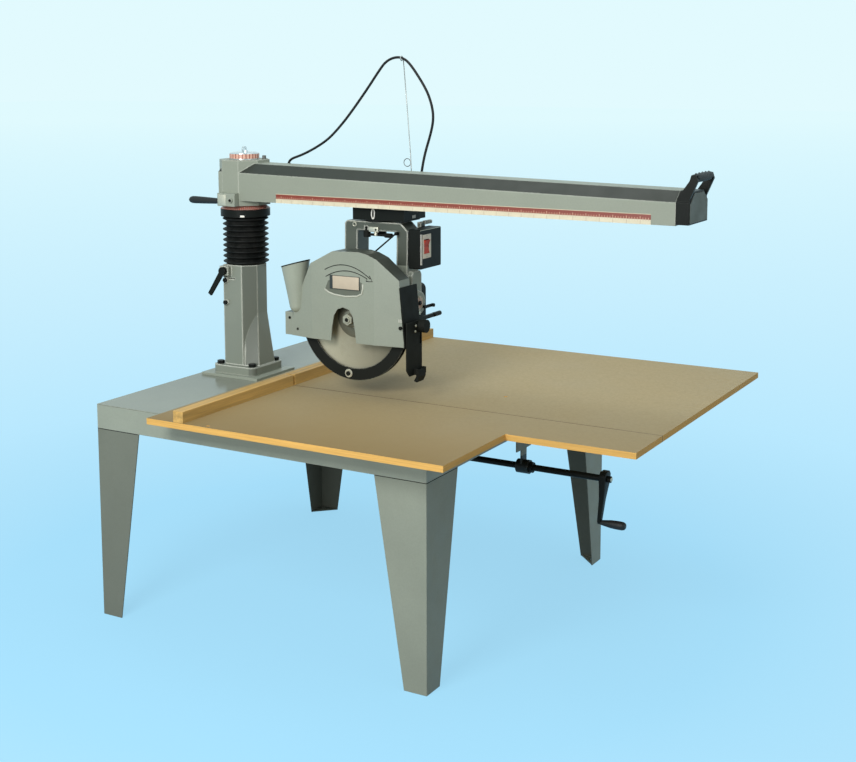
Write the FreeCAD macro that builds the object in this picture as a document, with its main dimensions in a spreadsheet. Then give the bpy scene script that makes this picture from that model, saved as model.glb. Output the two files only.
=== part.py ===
"""Radial arm saw on a four-legged sheet-metal stand, as a parametric document.

Frame: +Z up, the floor is z = 0, the origin is the middle of the four floor-bolt holes.
The column stands at the back (+Y), the operator at the front (-Y), and the blade hangs
on the -X side of the arm. All sizes are millimetres and live in the sheet "Sizes".
"""
import FreeCAD, Part
import math
import os
import re
import Sketcher
from FreeCAD import Placement, Rotation, Vector

doc = FreeCAD.newDocument("RadialArmSaw")
sheet = doc.addObject("Spreadsheet::Sheet", "Sizes")
words = {}
nodes = []


# ---------------------------------------------------------------- sheet and expressions
def bind(text):
    """Turn a plain formula of size names into an expression that reads the sheet."""
    return re.sub(r"[a-z][a-z_0-9]*", lambda m: words.get(m.group(0), m.group(0)), str(text))


def place(name, formula):
    """A place worked out from sizes, written once and used by name."""
    words[name] = "(" + bind(formula) + ")"


def value(formula):
    """The number a formula has now."""
    return float(sheet.evalExpression(bind(formula)))


# ---------------------------------------------------------------- primitives and booleans
TURNS = {
    "Z": Rotation(),
    "X": Rotation(Vector(0, 1, 0), 90),
    "Y": Rotation(Vector(1, 0, 0), -90),
}


def locate(piece, x, y, z):
    for key, formula in (("x", x), ("y", y), ("z", z)):
        piece.setExpression("Placement.Base." + key, bind(formula))
    return piece


def box(x, y, z):
    """A block from x[0] to x[1], y[0] to y[1] and z[0] to z[1]."""
    piece = doc.addObject("Part::Box", "Block")
    for key, (low, high) in (("Length", x), ("Width", y), ("Height", z)):
        piece.setExpression(key, bind(f"({high}) - ({low})"))
    return locate(piece, x[0], y[0], z[0])


def rod(axis, x, y, z, radius, length):
    """A round bar that starts at a point and runs along +X, +Y or +Z."""
    piece = doc.addObject("Part::Cylinder", "Bar")
    piece.Placement = Placement(Vector(), TURNS[axis])
    piece.setExpression("Radius", bind(radius))
    piece.setExpression("Height", bind(length))
    return locate(piece, x, y, z)


def ball(x, y, z, radius):
    """A ball given by its centre."""
    piece = doc.addObject("Part::Sphere", "Ball")
    piece.setExpression("Radius", bind(radius))
    return locate(piece, x, y, z)


def taper(axis, x, y, z, radius, radius_end, length):
    """A cone that starts at a point with one radius and ends with another."""
    piece = doc.addObject("Part::Cone", "Taper")
    piece.Placement = Placement(Vector(), TURNS[axis])
    piece.setExpression("Radius1", bind(radius))
    piece.setExpression("Radius2", bind(radius_end))
    piece.setExpression("Height", bind(length))
    return locate(piece, x, y, z)


def hexagon(axis, x, y, z, across, length):
    """A hexagonal bar given by its width across flats."""
    piece = doc.addObject("Part::Prism", "Hexagon")
    piece.Placement = Placement(Vector(), TURNS[axis])
    piece.Polygon = 6
    piece.setExpression("Circumradius", bind(f"({across}) / 2 / cos(30)"))
    piece.setExpression("Height", bind(length))
    return locate(piece, x, y, z)


def octagon(x, y, z, across, length):
    """An upright octagonal bar with flats square to X and Y."""
    piece = doc.addObject("Part::Prism", "Octagon")
    piece.Placement = Placement(Vector(), Rotation(Vector(0, 0, 1), 22.5))
    piece.Polygon = 8
    piece.setExpression("Circumradius", bind(f"({across}) / 2 / cos(22.5)"))
    piece.setExpression("Height", bind(length))
    return locate(piece, x, y, z)


def eye(x, y, z, radius, wire):
    """A lifting eye: a flat ring that stands across Y."""
    return cut(
        rod("Y", x, f"{y} - {wire}", z, f"{radius} + {wire}", f"2 * {wire}"),
        rod("Y", x, f"{y} - {wire} - 1", z, f"{radius} - {wire}", f"2 * {wire} + 2"))


def fuse(*pieces):
    """One solid from pieces that overlap or meet."""
    joined = doc.addObject("Part::MultiFuse", "Joined")
    joined.Shapes = list(pieces)
    joined.Refine = True
    return joined


def group(*pieces):
    """Separate solids kept together as one sub-part."""
    kept = doc.addObject("Part::Compound", "Group")
    kept.Links = list(pieces)
    return kept


def cut(base, *tools):
    """The base with every tool taken away."""
    for tool in tools:
        result = doc.addObject("Part::Cut", "Cut")
        result.Base = base
        result.Tool = tool
        base = result
    return base


def common(base, tool):
    """What two pieces share."""
    result = doc.addObject("Part::Common", "Shared")
    result.Base = base
    result.Tool = tool
    return result


def round_edges(piece, radius, wanted, kind="Part::Fillet"):
    """Round or chamfer the straight edges that a rule picks."""
    doc.recompute()
    amount = value(radius)
    picked = [
        (number, amount, amount)
        for number, edge in enumerate(piece.Shape.Edges, 1)
        if wanted(edge)
    ]
    result = doc.addObject(kind, "Eased")
    result.Base = piece
    result.Edges = picked
    return result


def along(axis, least=0):
    """A rule: straight edges along an axis, at least so long."""
    way = {"X": Vector(1, 0, 0), "Y": Vector(0, 1, 0), "Z": Vector(0, 0, 1)}[axis]

    def rule(edge):
        if edge.Curve.TypeId != "Part::GeomLine" or edge.Length < least:
            return False
        return abs(edge.tangentAt(edge.FirstParameter).dot(way)) > 0.9999

    return rule


def node(name, piece):
    """Name a finished sub-part. Its label names its file."""
    piece.Label = name
    nodes.append(piece)
    return piece


# ---------------------------------------------------------------- sketches and bodies
ROLES = {"XY": "XY_Plane", "XZ": "XZ_Plane", "YZ": "YZ_Plane"}


def sketch(body, plane, level):
    """An empty sketch on an origin plane of the body, moved along that plane's axis."""
    drawn = body.newObject("Sketcher::SketchObject", "Outline")
    role = ROLES[plane]
    origin_plane = [f for f in body.Origin.OriginFeatures if f.Role == role][0]
    drawn.AttachmentSupport = (origin_plane, [""])
    drawn.MapMode = "FlatFace"
    sign = "-" if plane == "XZ" else ""
    drawn.setExpression("AttachmentOffset.Base.z", bind(f"{sign}({level})"))
    return drawn


def outline(drawn, points):
    """A closed outline of straight sides, each corner bound to the sheet."""
    spots = [Vector(value(u), value(v), 0) for u, v in points]
    start = drawn.GeometryCount
    count = len(spots)
    for k in range(count):
        drawn.addGeometry(Part.LineSegment(spots[k], spots[(k + 1) % count]))
    for k in range(count):
        follow = start + (k + 1) % count
        drawn.addConstraint(Sketcher.Constraint("Coincident", start + k, 2, follow, 1))
    for k, (u, v) in enumerate(points):
        for kind, formula, now in (("DistanceX", u, spots[k].x), ("DistanceY", v, spots[k].y)):
            rule = Sketcher.Constraint(kind, -1, 1, start + k, 1, now)
            number = drawn.addConstraint(rule)
            drawn.setExpression(f"Constraints[{number}]", bind(formula))


def circle(drawn, u, v, radius):
    """A circle whose centre and radius are bound to the sheet."""
    spot = Vector(value(u), value(v), 0)
    number = drawn.addGeometry(Part.Circle(spot, Vector(0, 0, 1), value(radius)))
    rules = (
        Sketcher.Constraint("DistanceX", -1, 1, number, 3, spot.x),
        Sketcher.Constraint("DistanceY", -1, 1, number, 3, spot.y),
        Sketcher.Constraint("Radius", number, value(radius)),
    )
    for rule, formula in zip(rules, (u, v, radius)):
        index = drawn.addConstraint(rule)
        drawn.setExpression(f"Constraints[{index}]", bind(formula))


def new_body():
    return doc.addObject("PartDesign::Body", "Body")


def pad(body, plane, points, low, high, circles=()):
    """Raise an outline, with round holes, between two levels of its plane's axis."""
    drawn = sketch(body, plane, high if plane == "XZ" else low)
    if points:
        outline(drawn, points)
    for u, v, radius in circles:
        circle(drawn, u, v, radius)
    raised = body.newObject("PartDesign::Pad", "Pad")
    raised.Profile = drawn
    raised.setExpression("Length", bind(f"({high}) - ({low})"))
    body.Tip = raised
    return body


def pocket(body, plane, points, low, high, circles=()):
    """Cut an outline or circles out of a body between two levels."""
    doc.recompute()
    before = body.Shape.Volume
    drawn = sketch(body, plane, low if plane == "XZ" else high)
    if points:
        outline(drawn, points)
    for u, v, radius in circles:
        circle(drawn, u, v, radius)
    hole = body.newObject("PartDesign::Pocket", "Pocket")
    hole.Profile = drawn
    hole.setExpression("Length", bind(f"({high}) - ({low})"))
    body.Tip = hole
    doc.recompute()
    if body.Shape.Volume > before - 0.01:
        raise RuntimeError("a pocket takes nothing away from " + body.Name)
    return body


def loft(body, plane, stations):
    """Join two or more outlines, each at its own level, with straight flanks."""
    drawn = []
    for level, points in stations:
        drawn.append(sketch(body, plane, level))
        outline(drawn[-1], points)
    solid = body.newObject("PartDesign::AdditiveLoft", "Loft")
    solid.Profile = drawn[0]
    solid.Sections = drawn[1:]
    solid.Ruled = True
    body.Tip = solid
    return body


def turned(body, points, x="0", y="0", z="0"):
    """A ring turned about an upright axis: points are radius and height."""
    drawn = sketch(body, "XZ", "0")
    outline(drawn, points)
    solid = body.newObject("PartDesign::Revolution", "Turned")
    solid.Profile = drawn
    solid.ReferenceAxis = (drawn, ["V_Axis"])
    solid.Angle = 360
    body.Tip = solid
    return locate(body, x, y, z)


# ---------------------------------------------------------------- sizes
SIZES = {
    # Stand and table.
    "frame_half_x": 746,
    "frame_half_y": 716.3,
    "deck_top": 828,
    "sheet_wall": 4,
    "apron_depth": 93,
    "leg_top_x": 215,
    "leg_top_y": 202,
    "foot_width": 89,
    "foot_plate": 6,
    "foot_inset": 30,
    "foot_bolt": 9,
    "board_thick": 22,
    "board_left": -884.5,
    "board_right": 903.75,
    "board_step": -451.5,
    "board_back": 351,
    "board_split": 188,
    "board_short": -856,
    "board_front": -1328,
    "fence_height": 41,
    "fence_thick": 43.5,
    "kerf": 3.5,
    # Column.
    "column_x": -22.75,
    "column_y": 552,
    "base_half_x": 130,
    "base_half_y": 141,
    "base_thick": 10,
    "flange_half": 105,
    "flange_thick": 34,
    "bolt_reach": 80,
    "bolt_shank": 8,
    "column_across": 155,
    "casting_rise": 414,
    "inner_radius": 58,
    "inner_bore": 40,
    "running_fit": 0.06,
    "clearance": 0.3,
    "bellows_rise": 198,
    "bellows_radius": 93.5,
    "bellows_core": 77.5,
    "collar_radius": 101,
    "collar_rise": 31,
    "ring_rise": 15.7,
    "scale_radius": 80,
    # Lift drive.
    "shaft_z": 608,
    "shaft_radius": 12,
    "screw_radius": 12,
    "gear_radius": 32,
    "gear_face": 12,
    "gear_teeth": 16,
    "crank_y": -1030,
    "crank_reach": 166,
    # Arm.
    "head_across": 194,
    "head_rise": 183,
    "arm_half": 95.8,
    "roof_half": 50,
    "beam_lift": 22,
    "side_back": 135.8,
    "side_front": 101,
    "roof_back": 172.8,
    "roof_front": 138.7,
    "arm_back": 612,
    "channel_back": 440,
    "arm_front": -1324,
    "arm_wall": 14,
    "cap_depth": 47,
    "track_radius": 8,
    # Carriage, yoke and motor.
    "swivel_y": -98,
    "carriage_margin": 13.05,
    "carriage_back": -10,
    "carriage_front": -240,
    "carriage_hang": 28,
    "roller_radius": 24,
    "roller_thick": 22,
    "roller_contact": 21.193,
    "roller_spread": 75,
    "axle_radius": 8,
    "yoke_half": 42,
    "bridge_thick": 35,
    "bevel_offset": -16,
    "bevel_drop": 340,
    "arbor_drop": 386,
    "motor_half": 76,
    "motor_left": -140,
    "motor_right": 220,
    "trunnion": 16,
    # Blade and guards.
    "blade_offset": -186,
    "blade_radius": 225,
    "blade_thick": 3.2,
    "blade_teeth": 44,
    "arbor_radius": 12.7,
    "guard_wall": 5,
    "plate_thick": 5,
    "bar_thick": 5,
    "cord_radius": 5,
}
for row, (name, amount) in enumerate(SIZES.items(), 1):
    sheet.set(f"A{row}", name)
    sheet.set(f"B{row}", str(amount))
    sheet.setAlias(f"B{row}", name)
    words[name] = "Sizes." + name
doc.recompute()

place("apron_low", "deck_top - apron_depth")
place("deck_low", "deck_top - sheet_wall")
place("board_top", "deck_top + board_thick")
place("blade_x", "column_x + blade_offset")
place("base_top", "deck_top + base_thick")
place("flange_top", "base_top + flange_thick")
place("casting_top", "flange_top + casting_rise")
place("collar_low", "casting_top + bellows_rise")
place("ring_low", "collar_low + collar_rise")
place("arm_low", "ring_low + ring_rise + clearance")
place("beam_low", "arm_low + beam_lift")
place("head_top", "arm_low + head_rise")
place("carriage_low", "arm_low - carriage_hang")
place("track_z", "beam_low + 30")
place("track_x", "arm_half - arm_wall - track_radius")
place("roller_low", "track_z - roller_thick / 2")
place("rod_to_axle", "roller_contact + track_radius / sqrt(2)")
place("roller_reach", "track_x - rod_to_axle")
place("carriage_half", "roller_reach + carriage_margin")
place("bridge_top", "carriage_low - 7")
place("bridge_low", "bridge_top - bridge_thick")
place("bevel_x", "column_x + bevel_offset")
place("bevel_z", "arm_low - bevel_drop")
place("arbor_z", "arm_low - arbor_drop")
place("cap_front", "arm_front - cap_depth")


def cx(formula):
    """A place measured across from the column axis."""
    return f"column_x + ({formula})"


def up(formula):
    """A height measured from the underside of the arm head."""
    return f"arm_low + ({formula})"


# ---------------------------------------------------------------- stand
apron = cut(
    box(("-frame_half_x", "frame_half_x"), ("-frame_half_y", "frame_half_y"),
        ("apron_low", "deck_low")),
    box(("sheet_wall - frame_half_x", "frame_half_x - sheet_wall"),
        ("sheet_wall - frame_half_y", "frame_half_y - sheet_wall"),
        ("apron_low - 1", "deck_low + 1")),
)
ribs = []
for side in ("-1", "1"):
    ribs.append(box((cx(f"{side} * 114 - 4"), cx(f"{side} * 114 + 4")),
                    ("1 - frame_half_y", "frame_half_y - 1"), ("deck_low - 60", "deck_low")))
    ribs.append(box(("1 - frame_half_x", "frame_half_x - 1"),
                    (f"{side} * 360 - 4", f"{side} * 360 + 4"), ("deck_low - 60", "deck_low")))
node("frame_apron", fuse(apron, *ribs))


def column_bolt_tools(low, high, radius):
    """The four upright bars on the column's bolt square."""
    return [
        rod("Z", cx(f"{a} * bolt_reach"), f"column_y + {b} * bolt_reach", low, radius,
            f"({high}) - ({low})")
        for a in ("-1", "1") for b in ("-1", "1")
    ]


deck = box(("-frame_half_x", "frame_half_x"), ("-frame_half_y", "frame_half_y"),
           ("deck_low", "deck_top"))
deck_well = rod("Z", "column_x", "column_y", "deck_low - 1", "inner_bore", "sheet_wall + 2")
node("frame_deck", cut(deck, deck_well,
                       *column_bolt_tools("deck_low - 1", "deck_top + 1",
                                          "bolt_shank + clearance")))


def leg(name, a, b):
    """An angle leg with tapering flanges, tabs inside the apron and a three-cornered foot."""
    body = new_body()
    outer_x = f"{a} * frame_half_x"
    outer_y = f"{b} * frame_half_y"

    def span(outer, sign, thick):
        far = f"{outer} - ({sign}) * ({thick})"
        return (far, outer) if sign == "1" else (outer, far)

    wide_x = f"{outer_x} - {a} * leg_top_x"
    foot_x = f"{outer_x} - {a} * foot_width"
    wide_y = f"{outer_y} - {b} * leg_top_y"
    foot_y = f"{outer_y} - {b} * foot_width"
    low, high = span(outer_y, b, "sheet_wall")
    pad(body, "XZ", [(outer_x, "0"), (foot_x, "0"), (wide_x, "apron_low"),
                     (outer_x, "apron_low")], low, high)
    low, high = span(outer_x, a, "sheet_wall")
    pad(body, "YZ", [(outer_y, "0"), (foot_y, "0"), (wide_y, "apron_low"),
                     (outer_y, "apron_low")], low, high)
    pad(body, "XY", [(outer_x, outer_y), (foot_x, outer_y), (outer_x, foot_y)],
        "0", "foot_plate",
        [(f"{outer_x} - {a} * foot_inset", f"{outer_y} - {b} * foot_inset", "foot_bolt")])
    # Tabs that stand inside the apron and carry the leg's two bolts.
    inner_y = f"{outer_y} - {b} * sheet_wall"
    inner_x = f"{outer_x} - {a} * sheet_wall"
    low, high = span(inner_y, b, "sheet_wall")
    pad(body, "XZ", [(inner_x, "apron_low - 30"), (f"{wide_x} + {a} * 20", "apron_low - 30"),
                     (f"{wide_x} + {a} * 20", "apron_low + 70"), (inner_x, "apron_low + 70")],
        low, high)
    low, high = span(inner_x, a, "sheet_wall")
    pad(body, "YZ", [(inner_y, "apron_low - 30"), (f"{wide_y} + {b} * 20", "apron_low - 30"),
                     (f"{wide_y} + {b} * 20", "apron_low + 70"), (inner_y, "apron_low + 70")],
        low, high)
    node(name, body)


leg("leg_front_left", "-1", "-1")
leg("leg_front_right", "1", "-1")
leg("leg_back_left", "-1", "1")
leg("leg_back_right", "1", "1")

# ---------------------------------------------------------------- table
board = new_body()
pad(board, "XY", [("board_left", "board_split"), ("board_left", "board_short"),
                  ("board_step", "board_short"), ("board_step", "board_front"),
                  ("board_right", "board_front"), ("board_right", "board_split")],
    "deck_top", "board_top")
pocket(board, "XY", [("blade_x - kerf / 2", "board_split + 1"),
                     ("blade_x - kerf / 2", "-1180"), ("blade_x + kerf / 2", "-1180"),
                     ("blade_x + kerf / 2", "board_split + 1")],
       "board_top - 3", "board_top + 1")
pocket(board, "XY", [], "board_top - 8", "board_top + 1",
       [(cx("52"), "-618", "7"), (cx("-841"), "92", "7")])
node("table_board", board)
strip = new_body()
pad(strip, "XY", [("board_left", "board_split"), ("board_right", "board_split"),
                  ("board_right", "board_back"), ("board_left", "board_back")],
    "deck_top", "board_top")
node("table_rear_strip", strip)
fence = new_body()
pad(fence, "XY", [(cx("-858.5"), "board_split"), (cx("919"), "board_split"),
                  (cx("919"), "board_split + fence_thick"),
                  (cx("-858.5"), "board_split + fence_thick")],
    "board_top", "board_top + fence_height")
pocket(fence, "XZ", [("blade_x - 6", "board_top + 2"), ("blade_x + 6", "board_top + 2"),
                     ("blade_x + 6", "board_top + fence_height + 1"),
                     ("blade_x - 6", "board_top + fence_height + 1")],
       "board_split - 1", "board_split + fence_thick + 1")
node("table_fence", fence)

# ---------------------------------------------------------------- column
plate = new_body()
pad(plate, "XY", [(cx("-base_half_x"), "column_y - base_half_y"),
                  (cx("base_half_x"), "column_y - base_half_y"),
                  (cx("base_half_x"), "column_y + base_half_y"),
                  (cx("-base_half_x"), "column_y + base_half_y")],
    "deck_top", "base_top",
    [("column_x", "column_y", "inner_bore")]
    + [(cx(f"{a} * bolt_reach"), f"column_y + {b} * bolt_reach", "bolt_shank + clearance")
       for a in ("-1", "1") for b in ("-1", "1")])
node("column_base_plate", plate)

flange = round_edges(
    box((cx("-flange_half"), cx("flange_half")),
        ("column_y - flange_half", "column_y + flange_half"), ("base_top", "flange_top")),
    "26", along("Z"))
shaft_of_column = octagon("column_x", "column_y", "flange_top - 1", "column_across",
                          "casting_rise + 1")
# Its back half is square, so that the clamp's slit has a thick wall to close.
square_back = box((cx("-column_across / 2"), cx("column_across / 2")),
                  ("column_y", "column_y + 60"), ("flange_top - 1", "casting_top"))
# The foot of the column swells towards the operator.
skirt = new_body()
loft(skirt, "XY", [
    ("flange_top - 1", [(cx("-54"), "column_y - 96"), (cx("54"), "column_y - 96"),
                        (cx("79"), "column_y - 40"), (cx("-79"), "column_y - 40")]),
    ("flange_top + 213", [(cx("-32"), "column_y - column_across / 2"),
                          (cx("32"), "column_y - column_across / 2"),
                          (cx("60"), "column_y - 40"), (cx("-60"), "column_y - 40")]),
])
place("lock_y", "column_y + 40")
place("lock_z", "casting_top - 23")
clamp_lug = box((cx("-column_across / 2 - 22"), cx("-60")), ("lock_y - 21", "lock_y + 21"),
                ("lock_z - 19", "lock_z + 19"))
column_solid = fuse(flange, shaft_of_column, square_back, skirt, clamp_lug)
slit = box((cx("-column_across"), cx("-20")), ("column_y + 2", "column_y + 70"),
           ("casting_top - 58", "casting_top - 54"))
node("column_casting", cut(
    column_solid,
    rod("Z", "column_x", "column_y", "base_top - 1", "inner_radius + running_fit",
        "casting_rise + flange_thick + 2"),
    slit,
    rod("X", cx("-column_across / 2 - 23"), "lock_y", "lock_z", "9 + running_fit", "30"),
    *column_bolt_tools("base_top - 1", "flange_top + 1", "bolt_shank + clearance")))

bolts = []
for a in ("-1", "1"):
    for b in ("-1", "1"):
        spot = (cx(f"{a} * bolt_reach"), f"column_y + {b} * bolt_reach")
        bolts.append(fuse(
            rod("Z", *spot, "deck_low - 14", "bolt_shank", "flange_top - deck_low + 15"),
            hexagon("Z", *spot, "flange_top", "26", "13"),
            hexagon("Z", *spot, "deck_low - 12", "26", "12")))
node("column_bolts", group(*bolts))

lock = fuse(
    rod("X", cx("-column_across / 2 - 22"), "lock_y", "lock_z", "9", "28"),
    rod("X", cx("-column_across / 2 - 38"), "lock_y", "lock_z", "16", "15.7"),
)
lever = new_body()
pad(lever, "YZ", [("lock_y - 9", "lock_z - 7"), ("lock_y + 9", "lock_z + 5"),
                  ("lock_y + 73", "lock_z - 95"), ("lock_y + 59", "lock_z - 105")],
    cx("-column_across / 2 - 36"), cx("-column_across / 2 - 26"))
node("column_lock_lever", fuse(lock, lever))

# ---------------------------------------------------------------- lift drive
bracket_wall = "10"
gear_case = fuse(
    box((cx("-110"), cx("-56")), ("column_y - 60", "column_y + 60"),
        ("deck_low - 20", "deck_low")),
    box((cx("56"), cx("110")), ("column_y - 60", "column_y + 60"),
        ("deck_low - 20", "deck_low")),
    box((cx("-66"), cx("-56")), ("column_y - 60", "column_y + 60"),
        ("shaft_z - 50", "deck_low - 19")),
    box((cx("56"), cx("66")), ("column_y - 60", "column_y + 60"),
        ("shaft_z - 50", "deck_low - 19")),
    box((cx("-66"), cx("66")), ("column_y - 60", "column_y - 48"),
        ("shaft_z - 50", "shaft_z + 50")),
    box((cx("-66"), cx("66")), ("column_y - 60", "column_y + 60"),
        ("shaft_z + 50", "shaft_z + 66")),
)
node("gear_bracket", cut(
    gear_case,
    rod("Y", "column_x", "column_y - 70", "shaft_z", "shaft_radius + running_fit", "40"),
    rod("Z", "column_x", "column_y", "shaft_z + 40", "screw_radius + running_fit", "40")))

hanger = new_body()
pad(hanger, "YZ", [("1 - frame_half_y", "deck_low - 90"), ("-frame_half_y", "deck_low - 90"),
                   ("-frame_half_y - 71", "shaft_z + 34"), ("-frame_half_y - 71", "shaft_z - 26"),
                   ("1 - frame_half_y", "shaft_z - 26")],
    cx("-30"), cx("30"))
hanger_plate = box((cx("-60"), cx("60")), ("-frame_half_y - 5", "-frame_half_y"),
                   ("apron_low - 60", "deck_low - 4"))
node("shaft_hanger", cut(
    fuse(hanger_plate,
         box((cx("-22"), cx("22")), ("-frame_half_y - 5", "-frame_half_y"),
             ("shaft_z", "apron_low - 59")),
         rod("Y", "column_x", "-frame_half_y - 30", "shaft_z", "26", "50")),
    rod("Y", "column_x", "-frame_half_y - 90", "shaft_z", "shaft_radius + running_fit", "140")))

node("elevating_shaft", fuse(
    rod("Y", "column_x", "crank_y - 40", "shaft_z", "shaft_radius",
        "column_y - gear_radius + gear_face - crank_y + 40"),
    rod("Y", "column_x", "-frame_half_y - 44", "shaft_z", "20", "13.7"),
    rod("Y", "column_x", "column_y - 74", "shaft_z", "18", "13.7")))


def bevel_gear(name, bore, phase):
    """A straight bevel gear for a square pair: its pitch cone ends at the origin."""
    body = new_body()
    root = "0.87"
    drawn = sketch(body, "XZ", "0")
    outline(drawn, [(bore, "gear_radius - gear_face"),
                    (f"{root} * (gear_radius - gear_face)", "gear_radius - gear_face"),
                    (f"{root} * gear_radius", "gear_radius"),
                    (f"{root} * gear_radius - 4", "gear_radius + 8"),
                    (bore, "gear_radius + 8")])
    solid = body.newObject("PartDesign::Revolution", "Blank")
    solid.Profile = drawn
    solid.ReferenceAxis = (drawn, ["V_Axis"])
    solid.Angle = 360
    body.Tip = solid
    stations = []
    for level in ("gear_radius - gear_face", "gear_radius"):
        reach = f"({level})"
        stations.append((level, [
            (f"0.84 * {reach}", f"-0.105 * {reach}"), (f"1.0 * {reach}", f"-0.066 * {reach}"),
            (f"1.09 * {reach}", f"-0.036 * {reach}"), (f"1.09 * {reach}", f"0.036 * {reach}"),
            (f"1.0 * {reach}", f"0.066 * {reach}"), (f"0.84 * {reach}", f"0.105 * {reach}")]))
    loft(body, "XY", stations)
    tooth = body.Tip
    ring_of = body.newObject("PartDesign::PolarPattern", "Teeth")
    ring_of.Originals = [tooth]
    upright = [f for f in body.Origin.OriginFeatures if f.Role == "Z_Axis"][0]
    ring_of.Axis = (upright, [""])
    ring_of.Angle = 360
    ring_of.setExpression("Occurrences", bind("gear_teeth"))
    body.Tip = ring_of
    return body


# Both pitch cones meet where the shaft's axis crosses the screw's axis.
drive = bevel_gear("drive", "shaft_radius", "0")
drive.Placement = Placement(Vector(), Rotation(Vector(1, 0, 0), 90))
node("drive_bevel_gear", locate(drive, "column_x", "column_y", "shaft_z"))
driven = bevel_gear("driven", "screw_radius", "0")
driven.Placement = Placement(Vector(), Rotation(Vector(0, 0, 1), 180 / value("gear_teeth")))
node("driven_bevel_gear", locate(driven, "column_x", "column_y", "shaft_z"))
doc.recompute()
node("lift_screw", fuse(
    rod("Z", "column_x", "column_y", "shaft_z + gear_radius - gear_face", "screw_radius",
        "casting_top - 40 - shaft_z - gear_radius + gear_face"),
    rod("Z", "column_x", "column_y", "shaft_z + 66 + clearance", "20", "10")))

crank = new_body()
pad(crank, "XZ", [(cx("-20"), "shaft_z + 22"), (cx("-20"), "shaft_z - 22"),
                  (cx("-13"), "shaft_z - crank_reach - 12"),
                  (cx("13"), "shaft_z - crank_reach - 12"), (cx("20"), "shaft_z - 22"),
                  (cx("20"), "shaft_z + 22")], "crank_y", "crank_y + 13")
node("crank_arm", cut(
    fuse(crank,
         rod("Y", "column_x", "crank_y - 28", "shaft_z", "26", "68"),
         rod("Y", "column_x", "crank_y - 100", "shaft_z - crank_reach", "6", "101"),
         rod("Y", "column_x", "crank_y - 106", "shaft_z - crank_reach", "9", "6")),
    rod("Y", "column_x", "crank_y - 41", "shaft_z", "shaft_radius", "90")))
node("crank_grip", cut(
    taper("Y", "column_x", "crank_y - 99", "shaft_z - crank_reach", "16", "12", "97"),
    rod("Y", "column_x", "crank_y - 101", "shaft_z - crank_reach", "6 + running_fit", "102")))

# ---------------------------------------------------------------- inner column
tube = new_body()
turned(tube, [("inner_bore", "casting_top - 356"), ("inner_radius", "casting_top - 356"),
              ("inner_radius", "head_top - 6"), ("inner_bore", "head_top - 6")],
       "column_x", "column_y")
nut = new_body()
turned(nut, [("screw_radius + clearance", "casting_top - 356"),
             ("inner_bore + 0.2", "casting_top - 356"),
             ("inner_bore + 0.2", "casting_top - 306"),
             ("screw_radius + clearance", "casting_top - 306")], "column_x", "column_y")
node("inner_column", fuse(tube, nut))
collar = new_body()
turned(collar, [("inner_radius", "collar_low"), ("collar_radius", "collar_low"),
                ("collar_radius", "ring_low"), ("inner_radius", "ring_low")],
       "column_x", "column_y")
node("column_collar", collar)
scale = new_body()
turned(scale, [("inner_radius", "ring_low"), ("collar_radius", "ring_low"),
               ("scale_radius", "arm_low - clearance"),
               ("inner_radius", "arm_low - clearance")], "column_x", "column_y")
node("miter_scale_ring", scale)
folds = 9
pleats = new_body()
outside = []
for k in range(folds):
    outside += [("bellows_core", f"casting_top + bellows_rise * {k} / {folds}"),
                ("bellows_radius", f"casting_top + bellows_rise * {k + 0.5} / {folds}")]
turned(pleats, [("bellows_core - 2.5", "casting_top"), *outside, ("bellows_core", "collar_low"),
                ("bellows_core - 2.5", "collar_low")], "column_x", "column_y")
node("bellows", pleats)

# ---------------------------------------------------------------- arm


def arm_section(inset, y_side, y_roof, drop=0):
    """The five-sided section of the beam, pulled in by a wall."""
    low = "beam_low" if drop == 0 else f"beam_low - {drop}"
    half = f"(arm_half - {inset})"
    roof = f"(roof_half - {inset} * 0.4)"
    return [(cx(f"-{half}"), low), (cx(f"-{half}"), f"arm_low + {y_side} - {inset} * 0.7"),
            (cx(f"-{roof}"), f"arm_low + {y_roof} - {inset}"),
            (cx(roof), f"arm_low + {y_roof} - {inset}"),
            (cx(half), f"arm_low + {y_side} - {inset} * 0.7"), (cx(half), low)]


beam = new_body()
loft(beam, "XZ", [("arm_back", arm_section("0", "side_back", "roof_back")),
                  ("arm_front", arm_section("0", "side_front", "roof_front"))])
channel = new_body()
loft(channel, "XZ", [
    ("channel_back", arm_section("arm_wall", "side_back", "roof_back", 1)),
    ("arm_front + arm_wall", arm_section("arm_wall", "side_front", "roof_front", 1))])
head = octagon("column_x", "column_y", "arm_low", "head_across", "head_rise")
node("arm_casting", cut(
    fuse(head, beam), channel,
    rod("Z", "column_x", "column_y", "arm_low - 1", "inner_radius + running_fit",
        "head_rise + 2")))
node("arm_track_rods", group(*[
    rod("Y", cx(f"{a} * track_x"), "arm_front + arm_wall", "track_z", "track_radius",
        "channel_back - arm_front - arm_wall") for a in ("-1", "1")]))
node("column_cap", fuse(
    rod("Z", "column_x", "column_y", "head_top", "inner_radius + 1.5", "26"),
    taper("Z", "column_x", "column_y", "head_top + 26", "inner_radius + 1.5", "46", "4"),
    rod("Z", cx("-30"), "column_y - 30", "head_top + 24", "9", "14"),
    rod("Z", "column_x", "column_y", "head_top + 24", "7", "10"),
    eye("column_x", "column_y", "head_top + 40", "10", "3.2")))
cap = new_body()
pad(cap, "XZ", [(cx("-arm_half"), "beam_low + 4"), (cx("-arm_half"), up("side_front - 1")),
                (cx("-roof_half"), up("roof_front - 1.5")),
                (cx("roof_half"), up("roof_front - 1.5")),
                (cx("arm_half"), up("side_front - 1")), (cx("arm_half"), "beam_low + 4")],
    "cap_front", "arm_front")
arms = []
place("bracket_out", "arm_half - 5.8")
place("bracket_in", "bracket_out - 12")
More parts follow.
